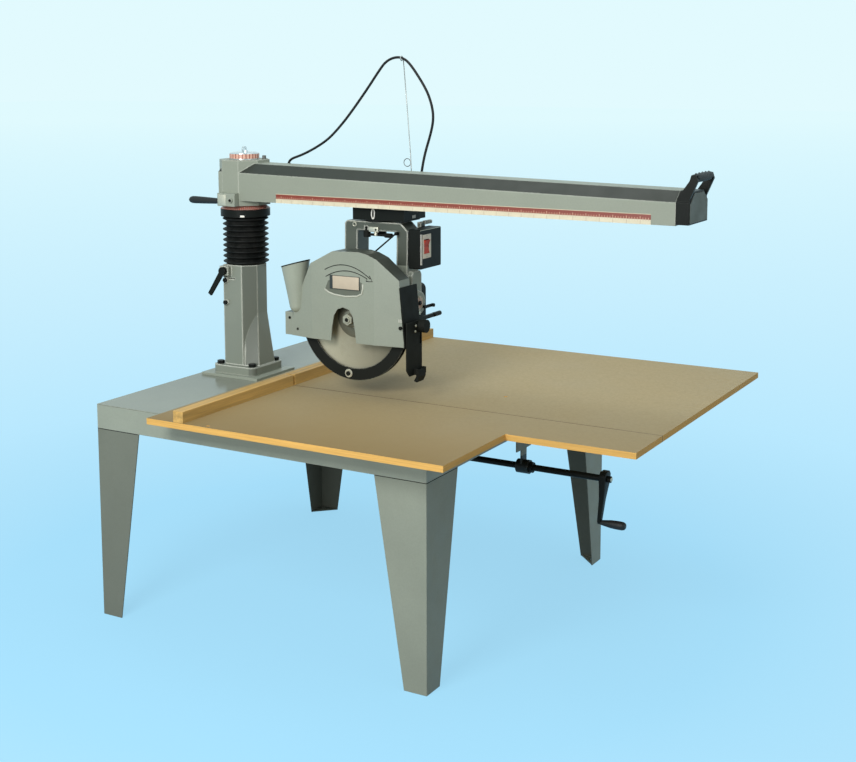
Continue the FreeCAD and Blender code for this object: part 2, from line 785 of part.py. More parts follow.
for low, high in (("-bracket_out", "-bracket_in"), ("bracket_in", "bracket_out")):
    part = new_body()
    pad(part, "YZ", [("arm_front - 2", up("side_front - 30")),
                     ("arm_front - 46", up("side_front - 30")),
                     ("arm_front - 46", up("side_front + 12")),
                     ("arm_front - 73", up("side_front + 74")),
                     ("arm_front - 66", up("side_front + 94")),
                     ("arm_front - 50", up("side_front + 94")),
                     ("arm_front - 44", up("side_front + 74")),
                     ("arm_front - 2", up("side_front + 14"))],
        cx(low), cx(high))
    arms.append(part)
node("end_cap", fuse(cap, *arms))
face = new_body()
pad(face, "XZ", [(cx("-arm_half + 6"), "beam_low + 9"), (cx("-arm_half + 6"), up("side_front - 6")),
                 (cx("-roof_half + 2"), up("roof_front - 8")),
                 (cx("roof_half - 2"), up("roof_front - 8")),
                 (cx("arm_half - 6"), up("side_front - 6")), (cx("arm_half - 6"), "beam_low + 9")],
    "cap_front - 2", "cap_front")
node("end_cap_plate", face)
node("end_handle", rod("X", cx("-bracket_in"), "arm_front - 59", up("side_front + 84"), "12",
                       "2 * bracket_in"))
node("rip_scale", box((cx("-arm_half - 1"), cx("-arm_half")), ("-1237", "327"),
                      ("beam_low", "beam_low + 36")))
node("cord_gland", cut(
    fuse(rod("Z", cx("arm_half - 12.8"), "390", up("side_back - 5.8"), "11", "30"),
         rod("Z", cx("arm_half - 12.8"), "390", up("side_back + 23.2"), "8", "8")), beam))
node("miter_lock_block", cut(
    fuse(box((cx("-126"), cx("-97")), ("510", "596"), ("arm_low", "arm_low + 52")),
         rod("X", cx("-134"), "527", "arm_low + 25", "9", "10")),
    rod("Y", cx("-111"), "550", "arm_low + 18", "8 + running_fit", "50")))
node("miter_lock_handle", fuse(
    rod("Y", cx("-111"), "555", "arm_low + 18", "8", "60"),
    taper("Y", cx("-111"), "604", "arm_low + 18", "9", "15", "130"),
    taper("Y", cx("-111"), "734", "arm_low + 18", "15", "9", "18")))

# ---------------------------------------------------------------- carriage
carriage = box((cx("-carriage_half"), cx("carriage_half")), ("carriage_front", "carriage_back"),
               ("carriage_low", "track_z - roller_thick / 2 - 3"))
carriage_nub = box((cx("-38"), cx("38")), ("carriage_back - 52", "carriage_back + 15"),
                   ("carriage_low - 6.5", "beam_low - 22"))
ear = box((cx("carriage_half - 1"), cx("arm_half + 32.2")), ("-225", "-170"),
          ("carriage_low", "beam_low - 8"))
gland_low = rod("Z", cx("arm_half + 18.2"), "-205", "beam_low - 9", "11", "21")
node("carriage_casting", fuse(
    carriage, ear, gland_low,
    rod("Z", "column_x", "swivel_y", "bridge_low - 14", "12", "60"),
    rod("Z", "column_x", "swivel_y", "bridge_low - 16", "24", "15.7"),
    rod("Z", "column_x", "swivel_y", "bridge_top + 0.3", "58", "8")))
# The square grooves of the rollers run on the round rods of the arm.
place("groove_apex", "rod_to_axle - (track_radius + running_fit) * sqrt(2)")
axles = []
roller_spots = [(a, b) for b in ("1", "-1") for a in ("-1", "1")]
for a, b in roller_spots:
    spot = (cx(f"{a} * roller_reach"), f"(carriage_back + carriage_front) / 2 + {b} * roller_spread")
    axles.append(fuse(
        rod("Z", *spot, "roller_low - 3", "axle_radius", "roller_thick + 8"),
        rod("Z", *spot, "roller_low - 3", "12", "2.7"),
        rod("Z", *spot, "roller_low + roller_thick + 0.3", "12", "5")))
node("roller_axles", group(*axles))
for number, (a, b) in enumerate(roller_spots, 1):
    spot = (cx(f"{a} * roller_reach"), f"(carriage_back + carriage_front) / 2 + {b} * roller_spread")
    wheel = new_body()
    turned(wheel, [("axle_radius + running_fit", "-roller_thick / 2"),
                   ("roller_radius", "-roller_thick / 2"),
                   ("roller_radius", "groove_apex - roller_radius"), ("groove_apex", "0"),
                   ("roller_radius", "roller_radius - groove_apex"),
                   ("roller_radius", "roller_thick / 2"),
                   ("axle_radius + running_fit", "roller_thick / 2")], *spot, "track_z")
    node(f"roller_{number}", wheel)


def route(name, points, radius):
    """A round cord along straight runs joined by tangent arcs."""
    spots = [Vector(*[value(c) for c in p]) for p in points]
    edges = []
    here = spots[0]
    for k in range(1, len(spots) - 1):
        one = spots[k] - spots[k - 1]
        two = spots[k + 1] - spots[k]
        half = one.getAngle(two) / 2
        shorter = min(one.Length, two.Length)
        reach = 0.45 * shorter
        first = one.normalize()
        second = two.normalize()
        start = spots[k] - first * reach
        end = spots[k] + second * reach
        bend = reach / math.tan(half)
        inward = (second - first).normalize()
        middle = spots[k] + inward * (bend / math.cos(half) - bend)
        edges.append(Part.LineSegment(here, start).toShape())
        edges.append(Part.Arc(start, middle, end).toShape())
        here = end
    edges.append(Part.LineSegment(here, spots[-1]).toShape())
    wire = Part.Wire(edges)
    heading = (spots[1] - spots[0]).normalize()
    mouth = Part.Wire([Part.makeCircle(value(radius), spots[0], heading)])
    shape = wire.makePipeShell([mouth], True, True)
    holder = doc.addObject("Part::Feature", "Route")
    holder.Shape = shape
    if abs(shape.Volume - wire.Length * math.pi * value(radius) ** 2) > 0.01 * shape.Volume:
        raise RuntimeError("the cord's tube is not true to its route")
    return node(name, holder)


route("cord", [
    (cx("83"), "390", up("side_back + 31.2")), (cx("83"), "390", up("236")),
    (cx("84"), "285", up("286")), (cx("86"), "175", up("350")), (cx("88"), "80", up("432")),
    (cx("89"), "0", up("518")), (cx("90"), "-66", up("578")), (cx("91"), "-141", up("594")),
    (cx("93"), "-206", up("560")), (cx("96"), "-246", up("492")), (cx("100"), "-272", up("410")),
    (cx("105"), "-282", up("318")), (cx("110"), "-262", up("226")),
    (cx("114"), "-222", up("146")), (cx("114"), "-205", "beam_low + 70"),
    (cx("114"), "-205", "beam_low + 12")], "cord_radius")
whip = new_body()
node("cord_whip", fuse(
    rod("Z", cx("arm_half + 8.2"), "-182", "beam_low - 8", "6", "14"),
    rod("Z", cx("arm_half + 8.2"), "-182", "beam_low", "2", "570"),
    eye(cx("arm_half - 3.8"), "-182", "beam_low + 572", "12", "2.5")))

# ---------------------------------------------------------------- yoke
place("front_leg", "-246")
bridge = new_body()
pad(bridge, "YZ", [("38", "bridge_low"), ("38", "bridge_top - 10"), ("28", "bridge_top"),
                   ("-214", "bridge_top"), ("-246", "bridge_top - 30"), ("-246", "bridge_low")],
    cx("-yoke_half"), cx("yoke_half"))
legs = []
for low, high in (("-19", "38"), ("-246", "-197")):
    part = new_body()
    pad(part, "XZ", [(cx("-yoke_half"), "bridge_low + 1"), (cx("-48"), "bevel_z + 60"),
                     (cx("bevel_offset - 45"), "bevel_z + 16"),
                     (cx("bevel_offset - 30"), "bevel_z - 34"),
                     (cx("bevel_offset"), "bevel_z - 45"),
                     (cx("bevel_offset + 30"), "bevel_z - 34"),
                     (cx("bevel_offset + 45"), "bevel_z + 16"), (cx("36"), "bevel_z + 60"),
                     (cx("yoke_half"), "bridge_low + 1")],
        low, high, [("bevel_x", "bevel_z", "trunnion + running_fit")])
    legs.append(part)
front_bracket = new_body()
pad(front_bracket, "XZ", [(cx("-43"), "bevel_z + 30"), (cx("-43"), "bevel_z + 106"),
                          (cx("-32"), "bevel_z + 121"), (cx("15"), "bevel_z + 121"),
                          (cx("26"), "bevel_z + 106"), (cx("26"), "bevel_z + 30")],
    "-266", "-245")
boss = cut(rod("Y", "bevel_x", "-281", "bevel_z", "45", "36"),
           rod("Y", "bevel_x", "-282", "bevel_z", "25", "12"),
           rod("Y", "bevel_x", "-282", "bevel_z", "trunnion + running_fit", "38"))
lug = fuse(rod("Y", cx("-50"), "-284", "bevel_z - 51", "15", "50"),
           box((cx("-60"), cx("-24")), ("-246", "-234"), ("bevel_z - 52", "bevel_z - 12")))
grip = fuse(rod("X", cx("70"), "-252", "bridge_top - 6", "8", "52"),
            box((cx("40"), cx("72")), ("-256", "-240"), ("bridge_top - 34", "bridge_top - 2")))
node("yoke_casting", cut(
    fuse(bridge, *legs, front_bracket, boss, lug, grip),
    rod("Z", "column_x", "swivel_y", "bridge_low - 1", "12 + running_fit", "bridge_thick + 2"),
    rod("Y", "bevel_x", "-300", "bevel_z", "trunnion + running_fit", "400"),
    rod("Y", cx("-50"), "-290", "bevel_z - 51", "7 + running_fit", "70"),
    rod("Y", cx("14"), "-282", "bevel_z - 18", "5 + running_fit", "9"),
    rod("Z", cx("-36"), "-60", "bridge_low - 1", "8 + running_fit", "16")))
shell = round_edges(
    box((cx("-70"), cx("91")), ("-315", "-266"), ("bevel_z + 137", "bevel_z + 287")),
    "5", along("Y"))
node("switch_box", cut(
    fuse(shell, box((cx("-30"), cx("30")), ("-267", "-246"), ("bevel_z + 240", "bevel_z + 275"))),
    box((cx("-40 - clearance"), cx("-3 + clearance")), ("-320", "-290"),
        ("bevel_z + 193 - clearance", "bevel_z + 248 + clearance")),
    rod("X", cx("-46"), "-312", "bevel_z + 220", "2.5 + running_fit", "49")))
rocker = new_body()
pad(rocker, "YZ", [("-319", "bevel_z + 194.5"), ("-313", "bevel_z + 220"),
                   ("-323", "bevel_z + 246.5"), ("-305", "bevel_z + 242"),
                   ("-302", "bevel_z + 220"), ("-305", "bevel_z + 198")],
    cx("-40"), cx("-3"))
node("switch_rocker", fuse(rocker, rod("X", cx("-46"), "-312", "bevel_z + 220", "2.5", "49")))
node("swivel_clamp_handle", fuse(
    rod("Z", cx("-36"), "-60", "bridge_low - 26", "8", "40"),
    rod("Z", cx("-36"), "-60", "bridge_low - 26", "14", "25.7"),
    rod("Y", cx("-36"), "-152", "bridge_low - 16", "5", "92"),
    rod("Y", cx("-36"), "-172", "bridge_low - 16", "9", "30")))
node("bevel_clamp_lever", fuse(
    rod("Y", cx("-50"), "-300", "bevel_z - 51", "7", "60"),
    rod("Y", cx("-50"), "-306", "bevel_z - 51", "12", "21.7"),
    box((cx("-52"), cx("96")), ("-304", "-294"), ("bevel_z - 63", "bevel_z - 49")),
    rod("X", cx("60"), "-299", "bevel_z - 56", "9", "51")))
node("bevel_latch_lever", fuse(
    rod("Y", cx("14"), "-288", "bevel_z - 18", "5", "14"),
    box((cx("6"), cx("70")), ("-292", "-288"), ("bevel_z - 25", "bevel_z - 13")),
    rod("Y", cx("66"), "-300", "bevel_z - 19", "7", "10")))

# ---------------------------------------------------------------- motor
can = round_edges(
    box((cx("motor_left"), cx("motor_right")),
        ("swivel_y - motor_half", "swivel_y + motor_half"),
        ("arbor_z - 84", "arbor_z + 84")), "24", along("X"))
hollow = box((cx("motor_left + 14"), cx("motor_right - 14")),
             ("swivel_y - motor_half + 8", "swivel_y + motor_half - 8"),
             ("arbor_z - 76", "arbor_z + 76"))
stator = cut(rod("X", cx("-60"), "swivel_y", "arbor_z", "motor_half - 7.5", "160"),
             rod("X", cx("-61"), "swivel_y", "arbor_z", "48", "162"))
node("motor_housing", cut(
    fuse(cut(can, hollow), stator,
         rod("X", cx("motor_left - 10"), "swivel_y", "arbor_z", "60", "12"),
         rod("Y", "bevel_x", "-270", "bevel_z", "trunnion", "99"),
         rod("Y", "bevel_x", "swivel_y + motor_half - 4", "bevel_z", "trunnion", "80"),
         rod("Y", "bevel_x", "swivel_y - motor_half - 18", "bevel_z", "30", "20")),
    rod("X", cx("motor_left - 20"), "swivel_y", "arbor_z", "arbor_radius + running_fit",
        "motor_right - motor_left + 16")))
node("bevel_dial", rod("Y", "bevel_x", "-281.5", "bevel_z", "24", "11.5"))

guard_low = "arm_low - 473"
place("guard_nose", "swivel_y - blade_radius - 14")
place("guard_rear", "swivel_y + blade_radius + 47")
place("nose_lean", "22")
place("pivot_y", "swivel_y + blade_radius + 13")
place("pivot_z", "arm_low - 445")
place("ring_outer", "blade_radius + 14")
place("ring_inner", "blade_radius - 31")
place("spout_x", "blade_x - 25")


def crown(formula):
    """A height measured from the top of the blade."""
    return f"arbor_z + blade_radius + ({formula})"


def guard_outline(inset, drop):
    """The side view of the blade housing, pulled in by a wall; its foot is open."""
    low = f"{guard_low} - {drop}"
    return [
        (f"guard_rear - 12 - {inset}", up("-367")),
        (f"guard_rear - 105 - {inset} * 0.9", crown(f"-22 - {inset} * 0.6")),
        (f"swivel_y + 67 - {inset} * 0.3", crown(f"30 - {inset}")),
        (f"swivel_y - 50 + {inset} * 0.1", crown(f"34 - {inset}")),
        (f"swivel_y - 86 + {inset} * 0.4", crown(f"27 - {inset}")),
        (f"swivel_y - 128 + {inset} * 0.6", crown(f"10 - {inset} * 0.8")),
        (f"guard_nose + nose_lean + {inset}", crown(f"-63 - {inset} * 0.5")),
        (f"guard_nose + {inset}", up("-460")), (f"guard_nose + {inset}", low),
        (f"guard_rear - {inset}", low), (f"guard_rear - {inset}", up("-463"))]


def guard_plan(inset):
    """The top view of the blade housing: its near face has three facets."""
    return [(f"blade_x - 52 + {inset}", "65"), (f"blade_x - 52 + {inset}", "-215"),
            (f"blade_x - 34 + {inset}", "guard_nose - 7"),
            (f"blade_x + 36 - {inset}", "guard_nose - 7"),
            (f"blade_x + 36 - {inset}", "guard_rear + 6"),
            (f"blade_x - 30 + {inset}", "guard_rear + 6")]


outer_side = new_body()
pad(outer_side, "YZ", guard_outline("0", "0"), "blade_x - 60", "blade_x + 60")
outer_plan = new_body()
pad(outer_plan, "XY", guard_plan("0"), up("-600"), up("0"))
inner_side = new_body()
pad(inner_side, "YZ", guard_outline("guard_wall", "10"), "blade_x - 60", "blade_x + 60")
inner_plan = new_body()
pad(inner_plan, "XY", guard_plan("guard_wall"), up("-600"), up("0"))
arch = new_body()
pad(arch, "YZ", [("-22", up("-480")), ("-26", up("-426")), ("-36", up("-375")),
                 ("-52", up("-350")), ("-77", up("-341")), ("-104", up("-348")),
                 ("-120", up("-372")), ("-130", up("-426")), ("-136", up("-480"))],
    "blade_x - 70", "blade_x - 20")
recess = new_body()
pad(recess, "YZ", [("-28", up("-283")), ("-28", up("-230")), ("-144", up("-230")),
                   ("-144", up("-283"))], "blade_x - 56", "blade_x - 50")


def duct(radius, radius_end):
    """The dust outlet: a cone with a round bottom."""
    return fuse(
        ball("spout_x", "guard_rear - 4", up("-356"), radius),
        taper("Z", "spout_x", "guard_rear - 4", up("-356"), radius, radius_end, "185"))


rear_flange = box(("blade_x - 20", "blade_x + 20"), ("guard_rear - 2", "guard_rear + 37"),
                  (up("-475"), up("-386")))
node("guard_housing", cut(
    fuse(common(outer_side, outer_plan), rear_flange),
    common(inner_side, inner_plan), arch, recess,
    rod("X", "blade_x + 20", "swivel_y", "arbor_z", "40", "20"),
    rod("X", "blade_x - 42", "pivot_y", "pivot_z", "5 + running_fit", "84"),
    duct("24", "68")))
mouth_cut = new_body()
pad(mouth_cut, "YZ", [("guard_rear - 114", up("-163.1")), ("guard_rear + 86", up("-220.3")),
                      ("guard_rear + 86", up("-100")), ("guard_rear - 114", up("-100"))],
    "spout_x - 90", "spout_x + 90")
node("dust_spout", cut(duct("28", "72"), duct("24", "68"),
                       common(outer_side, outer_plan), mouth_cut))
front = new_body()
plate_top = "guard_nose + nose_lean * 210 / (blade_radius - arbor_drop + 397)"
pad(front, "YZ", [(f"{plate_top} - 0.1", up("-250")), ("guard_nose - 0.1", up("-460")),
                  ("guard_nose - 0.1", up("-476")), ("guard_nose - plate_thick", up("-476")),
                  ("guard_nose - plate_thick", up("-460")),
                  (f"{plate_top} - plate_thick", up("-250"))],
    cx("-228"), cx("-107"))
node("guard_front_plate", cut(
    front, rod("Y", cx("-124"), "guard_nose - 12", up("-404"), "6 + running_fit", "30")))

# ---------------------------------------------------------------- blade
half_blade = "blade_thick / 2"
blade = new_body()
pad(blade, "YZ", [], f"blade_x - {half_blade}", f"blade_x + {half_blade}",
    [("0", "0", "blade_radius - 12"), ("0", "0", "arbor_radius"), ("120", "-94", "4")])
pad(blade, "YZ", [("blade_radius - 13", "-12"), ("blade_radius", "-1"), ("blade_radius - 1", "4"),
                  ("blade_radius - 13", "12")],
    f"blade_x - {half_blade}", f"blade_x + {half_blade}")
teeth = blade.newObject("PartDesign::PolarPattern", "Teeth")
teeth.Originals = [blade.Tip]
teeth.Axis = ([f for f in blade.Origin.OriginFeatures if f.Role == "X_Axis"][0], [""])
teeth.Angle = 360
teeth.setExpression("Occurrences", bind("blade_teeth"))
blade.Tip = teeth
node("saw_blade", locate(blade, "0", "swivel_y", "arbor_z"))
node("arbor_shaft", group(
    fuse(rod("X", cx("-246"), "swivel_y", "arbor_z", "arbor_radius",
             "motor_right + 246 - 6"),
         rod("X", cx("-56"), "swivel_y", "arbor_z", "46", "152")),
    cut(rod("X", f"blade_x + {half_blade}", "swivel_y", "arbor_z", "38", "6"),
        rod("X", f"blade_x + {half_blade} - 1", "swivel_y", "arbor_z", "arbor_radius", "8")),
    cut(rod("X", f"blade_x - {half_blade} - 6", "swivel_y", "arbor_z", "38", "6"),
        rod("X", f"blade_x - {half_blade} - 7", "swivel_y", "arbor_z", "arbor_radius", "8")),
    cut(rod("X", cx("-222"), "swivel_y", "arbor_z", "20", "28.4"),
        rod("X", cx("-223"), "swivel_y", "arbor_z", "arbor_radius", "32")),
    cut(hexagon("X", cx("-242"), "swivel_y", "arbor_z", "38", "20"),
        rod("X", cx("-243"), "swivel_y", "arbor_z", "arbor_radius", "24"))))
plates = []
for low in ("blade_x - 11", "blade_x + 8"):
    sector = cut(
        rod("X", low, "swivel_y", "arbor_z", "ring_outer", "3"),
        rod("X", f"{low} - 1", "swivel_y", "arbor_z", "ring_inner", "5"),
        box((f"{low} - 1", f"{low} + 4"),
            ("swivel_y - ring_outer - 1", "swivel_y + ring_outer + 1"),
            (up("-440"), "arbor_z + ring_outer + 1")),
        box((f"{low} - 1", f"{low} + 4"), ("swivel_y - ring_outer - 1", "swivel_y - 150"),
            (up("-475"), up("-400"))))
    ear_plate = new_body()
    pad(ear_plate, "YZ", [("pivot_y - 22", "pivot_z + 7"), ("pivot_y", "pivot_z + 13"),
                          ("pivot_y + 13", "pivot_z"), ("pivot_y + 6", "pivot_z - 13"),
                          ("pivot_y - 20", "pivot_z - 35")], low, f"{low} + 3")
    plates += [sector, ear_plate]
node("lower_ring_guard", fuse(
    *plates,
    rod("X", "blade_x - 40", "pivot_y", "pivot_z", "5", "78"),
    rod("X", "blade_x - 11", "swivel_y - sqrt((ring_outer - 2.5)^2 - 92^2)", "arbor_z - 92",
        "2.5", "22")))

# ---------------------------------------------------------------- kickback stop
place("bar_back", "guard_nose - plate_thick - clearance")
place("bar_front", "bar_back - bar_thick")
bar = new_body()
pad(bar, "XZ", [(cx("-222"), up("-560")), (cx("-200"), up("-584")), (cx("-112"), up("-584")),
                (cx("-112"), up("-381")), (cx("-222"), up("-381"))], "bar_front", "bar_back")
pocket(bar, "XZ", [(cx("-130.5"), up("-472")), (cx("-117.5"), up("-472")),
                   (cx("-117.5"), up("-396")), (cx("-130.5"), up("-396"))],
       "bar_front - 1", "bar_back + 1")
lugs = [box((cx(x), cx(f"{x} + 4")), ("bar_front - 18", "bar_front"), (up("-583"), up("-560")))
        for x in ("-172", "-116")]
node("kickback_bar", cut(fuse(bar, *lugs),
                         rod("X", cx("-175"), "bar_front - 10", up("-572"), "4 + running_fit",
                             "66")))
pawl = new_body()
pad(pawl, "YZ", [("bar_front - 6", up("-566")), ("bar_front - 16", up("-566")),
                 ("bar_front - 19", up("-590")), ("bar_front - 9", up("-612")),
                 ("bar_front + 3", up("-608")), ("bar_front - 6.5", up("-590"))],
    cx("-167.7"), cx("-116.3"))
node("kickback_pawl", fuse(pawl, rod("X", cx("-172"), "bar_front - 10", up("-572"), "4", "60")))
node("kickback_knob", fuse(
    rod("Y", cx("-124"), "bar_front - 28.7", up("-404"), "6", "50"),
    rod("Y", cx("-124"), "bar_front - 28.7", up("-404"), "25", "28.4")))

# ---------------------------------------------------------------- write the files
doc.recompute()
for item in doc.Objects:
    if "Invalid" in item.State or "Error" in item.State:
        raise RuntimeError(item.Label + " is not in order")
os.makedirs("parts", exist_ok=True)
for piece in nodes:
    shape = piece.Shape
    if shape.isNull() or not shape.isValid() or not shape.Solids:
        raise RuntimeError(piece.Label + " is not a sound solid")
    shape.exportStep("parts/" + piece.Label + ".step")
print("nodes", len(nodes))
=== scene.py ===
import math
import bpy
import bmesh
from mathutils import Matrix, Vector


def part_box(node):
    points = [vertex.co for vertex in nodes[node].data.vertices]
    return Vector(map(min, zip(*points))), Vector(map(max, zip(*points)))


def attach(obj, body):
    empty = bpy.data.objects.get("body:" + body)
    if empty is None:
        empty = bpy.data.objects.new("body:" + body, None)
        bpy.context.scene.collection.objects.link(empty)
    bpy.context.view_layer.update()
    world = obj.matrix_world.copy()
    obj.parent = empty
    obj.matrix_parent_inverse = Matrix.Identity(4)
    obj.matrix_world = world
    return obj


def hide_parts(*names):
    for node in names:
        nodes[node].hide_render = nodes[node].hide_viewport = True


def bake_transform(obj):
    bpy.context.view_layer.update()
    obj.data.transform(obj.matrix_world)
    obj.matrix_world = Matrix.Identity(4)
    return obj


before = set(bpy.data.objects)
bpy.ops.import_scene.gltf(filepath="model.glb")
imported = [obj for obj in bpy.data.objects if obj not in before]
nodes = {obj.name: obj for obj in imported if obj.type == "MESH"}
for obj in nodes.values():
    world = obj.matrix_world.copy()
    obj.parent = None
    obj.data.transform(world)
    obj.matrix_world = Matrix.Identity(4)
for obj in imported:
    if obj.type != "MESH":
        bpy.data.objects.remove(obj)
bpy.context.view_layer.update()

scene = bpy.context.scene

# Places shared by the pieces, all in metres and read from the CAD nodes where they can be.
COLUMN_Y = 0.552
arm_low, arm_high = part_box("arm_casting")
head_low, head_top = arm_low.z, arm_high.z
column = Vector(((arm_low.x + arm_high.x) / 2, COLUMN_Y, 0.0))
beam_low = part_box("rip_scale")[0].z
blade_low, blade_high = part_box("saw_blade")
blade_middle = (blade_low + blade_high) / 2


def at(x, y, z):
    """A point given across from the column axis, along the arm, and up from the head's foot."""
    return Vector((column.x + x, y, head_low + z))


# -------------------------------------------------- node materials
class Paint:
    """One node material, built with short calls. A value is a number, a colour or a socket."""

    def __init__(self, name):
        self.mat = bpy.data.materials.new(name)
        self.mat.use_nodes = True
        self.tree = self.mat.node_tree
        self.shader = self.tree.nodes["Principled BSDF"]
        self.coord = None

    def link(self, a, b):
        self.tree.links.new(a, b)

    def feed(self, socket, value):
        """Sets a socket to a number or a colour, or links another socket to it."""
        if isinstance(value, (int, float)):
            socket.default_value = value
        elif isinstance(value, tuple):
            socket.default_value = value + (1.0,)
        else:
            self.link(value, socket)

    def place(self):
        """The position in metres, the same in every pose."""
        if self.coord is None:
            self.coord = self.tree.nodes.new("ShaderNodeTexCoord").outputs["Object"]
        return self.coord

    def stretch(self, scale):
        """The position scaled by axis, for grain and layers that run one way."""
        node = self.tree.nodes.new("ShaderNodeMapping")
        node.inputs["Scale"].default_value = scale
        self.link(self.place(), node.inputs["Vector"])
        return node.outputs["Vector"]

    def noise(self, scale, detail=3.0, rough=0.55, at=None, distort=0.0):
        node = self.tree.nodes.new("ShaderNodeTexNoise")
        node.inputs["Scale"].default_value = scale
        node.inputs["Detail"].default_value = detail
        node.inputs["Roughness"].default_value = rough
        node.inputs["Distortion"].default_value = distort
        self.link(at or self.place(), node.inputs["Vector"])
        return node.outputs["Fac"]

    def ramp(self, fac, low, high, a=0.0, b=1.0):
        """Maps low to a and high to b, held at both ends."""
        node = self.tree.nodes.new("ShaderNodeMapRange")
        node.inputs["From Min"].default_value = low
        node.inputs["From Max"].default_value = high
        node.inputs["To Min"].default_value = a
        node.inputs["To Max"].default_value = b
        self.link(fac, node.inputs["Value"])
        return node.outputs["Result"]

    def math(self, kind, a, b=None):
        node = self.tree.nodes.new("ShaderNodeMath")
        node.operation = kind
        for socket, value in zip(node.inputs, (a, b)):
            if value is not None:
                self.feed(socket, value)
        return node.outputs[0]

    def distance(self, u, v):
        """The length of a step of u one way and v across it."""
        squares = self.math("ADD", self.math("MULTIPLY", u, u), self.math("MULTIPLY", v, v))
        return self.math("POWER", squares, 0.5)

    def mix(self, fac, a, b):
        """Colour a where fac is 0, colour b where it is 1."""
        node = self.tree.nodes.new("ShaderNodeMix")
        node.data_type = "RGBA"
        for socket, value in ((node.inputs[0], fac), (node.inputs[6], a), (node.inputs[7], b)):
            self.feed(socket, value)
        return node.outputs[2]

    def edges(self, radius, low=0.985, high=0.8):
        """1 on edges and corners, 0 on flats; also the rounded normal it comes from."""
        soft = self.tree.nodes.new("ShaderNodeBevel")
        soft.samples = 4
        soft.inputs["Radius"].default_value = radius
        geometry = self.tree.nodes.new("ShaderNodeNewGeometry")
        dot = self.tree.nodes.new("ShaderNodeVectorMath")
        dot.operation = "DOT_PRODUCT"
        self.link(soft.outputs["Normal"], dot.inputs[0])
        self.link(geometry.outputs["Normal"], dot.inputs[1])
        return self.ramp(dot.outputs["Value"], low, high), soft.outputs["Normal"]

    def axis(self, which, of="position"):
        """One component of the position or of the surface normal."""
        split = self.tree.nodes.new("ShaderNodeSeparateXYZ")
        if of == "position":
            self.link(self.place(), split.inputs[0])
        else:
            turn = self.tree.nodes.new("ShaderNodeTexCoord")
            self.link(turn.outputs["Normal"], split.inputs[0])
        return split.outputs[which]

    def bump(self, height, strength, distance, normal=None):
        node = self.tree.nodes.new("ShaderNodeBump")
        node.inputs["Strength"].default_value = strength
        node.inputs["Distance"].default_value = distance
        self.link(height, node.inputs["Height"])
        if normal is not None:
            self.link(normal, node.inputs["Normal"])
        return node.outputs["Normal"]

    def done(self, color, rough, metal=0.0, normal=None, **extra):
        for socket, value in (("Base Color", color), ("Roughness", rough), ("Metallic", metal)):
            self.feed(self.shader.inputs[socket], value)
        if normal is not None:
            self.link(normal, self.shader.inputs["Normal"])
        for key, value in extra.items():
            self.shader.inputs[key.replace("_", " ")].default_value = value
        return self.mat


def rgb(r, g, b):
    """A colour written as it looks on screen, from 0 to 255, made linear."""
    def one(v):
        v /= 255.0
        return v / 12.92 if v <= 0.04045 else ((v + 0.055) / 1.055) ** 2.4
    return (one(r), one(g), one(b))


def shade(color, k):
    """A colour made darker or lighter by a factor."""
    return tuple(c * k for c in color)


GREY = rgb(150, 158, 145)
BLACK = rgb(27, 30, 28)
DEEP_SHADE = rgb(47, 51, 45)  # painted shade: the arm's sloping faces, and the rims of the shaded leg
LIGHT_EDGE = rgb(198, 204, 192)
SHADED = shade(GREY, 0.42)  # faces turned from the light


def painted(name, color, rough, wear_and_glint_amount, wear_and_glint=LIGHT_EDGE, edge=0.0025, glint_rim=False,
            mottle=0.12, grain=380.0, peel=0.12, shine=0.5, top_shade=None, flats_too=False,
            facing=None, below=None):
    """Sprayed enamel: slight mottle, orange peel, thin worn edges, or with the glint rim set, a
    painted highlight along the edges.

    The top shade colour is painted shade on what leans upwards, and with flats_too on what lies
    flat as well.
    facing is (direction in plan, low, high, colour): what faces that way takes the colour, as
    painted shade.
    below is (height, colour): what lies under that height takes the colour.
    """
    p = Paint(name)
    rim, soft = p.edges(edge, *((0.997, 0.93) if glint_rim else (0.985, 0.8)))
    cloud = p.noise(5.0, 4.0)
    tint = p.mix(p.ramp(cloud, 0.3, 0.7), shade(color, 1 - mottle), shade(color, 1 + mottle * 0.5))
    speck = p.noise(160.0, 2.0)
    tint = p.mix(p.ramp(speck, 0.35, 0.7, 0.0, 0.12), tint, shade(color, 0.6))
    if top_shade is not None:
        lean = p.axis(2, "normal")
        leaning = p.ramp(lean, 0.40, 0.5)
        if not flats_too:
            leaning = p.math("MULTIPLY", leaning, p.ramp(lean, 0.985, 0.96))
        tint = p.mix(leaning, tint, top_shade)
    if facing is not None:
        (across, along), low, high, other = facing
        lean = p.math("ADD", p.math("MULTIPLY", p.axis(0, "normal"), across),
                      p.math("MULTIPLY", p.axis(1, "normal"), along))
        tint = p.mix(p.ramp(lean, low, high), tint, other)
    if below is not None:
        tint = p.mix(p.math("LESS_THAN", p.axis(2), below[0]), tint, below[1])
    patchy = p.math("MULTIPLY", rim, p.ramp(p.noise(60.0, 3.0), 0.35, 0.6,
                                            0.75 if glint_rim else 0.35, 1.0))
    tint = p.mix(p.math("MULTIPLY", patchy, wear_and_glint_amount), tint, wear_and_glint)
    fine = p.noise(grain, 2.0)
    bumped = p.bump(fine, peel, 0.0004, soft)
    gloss = p.ramp(p.noise(18.0, 4.0), 0.3, 0.7, rough - 0.06, rough + 0.08)
    return p.done(tint, gloss, 0.0, bumped, Specular_IOR_Level=shine)


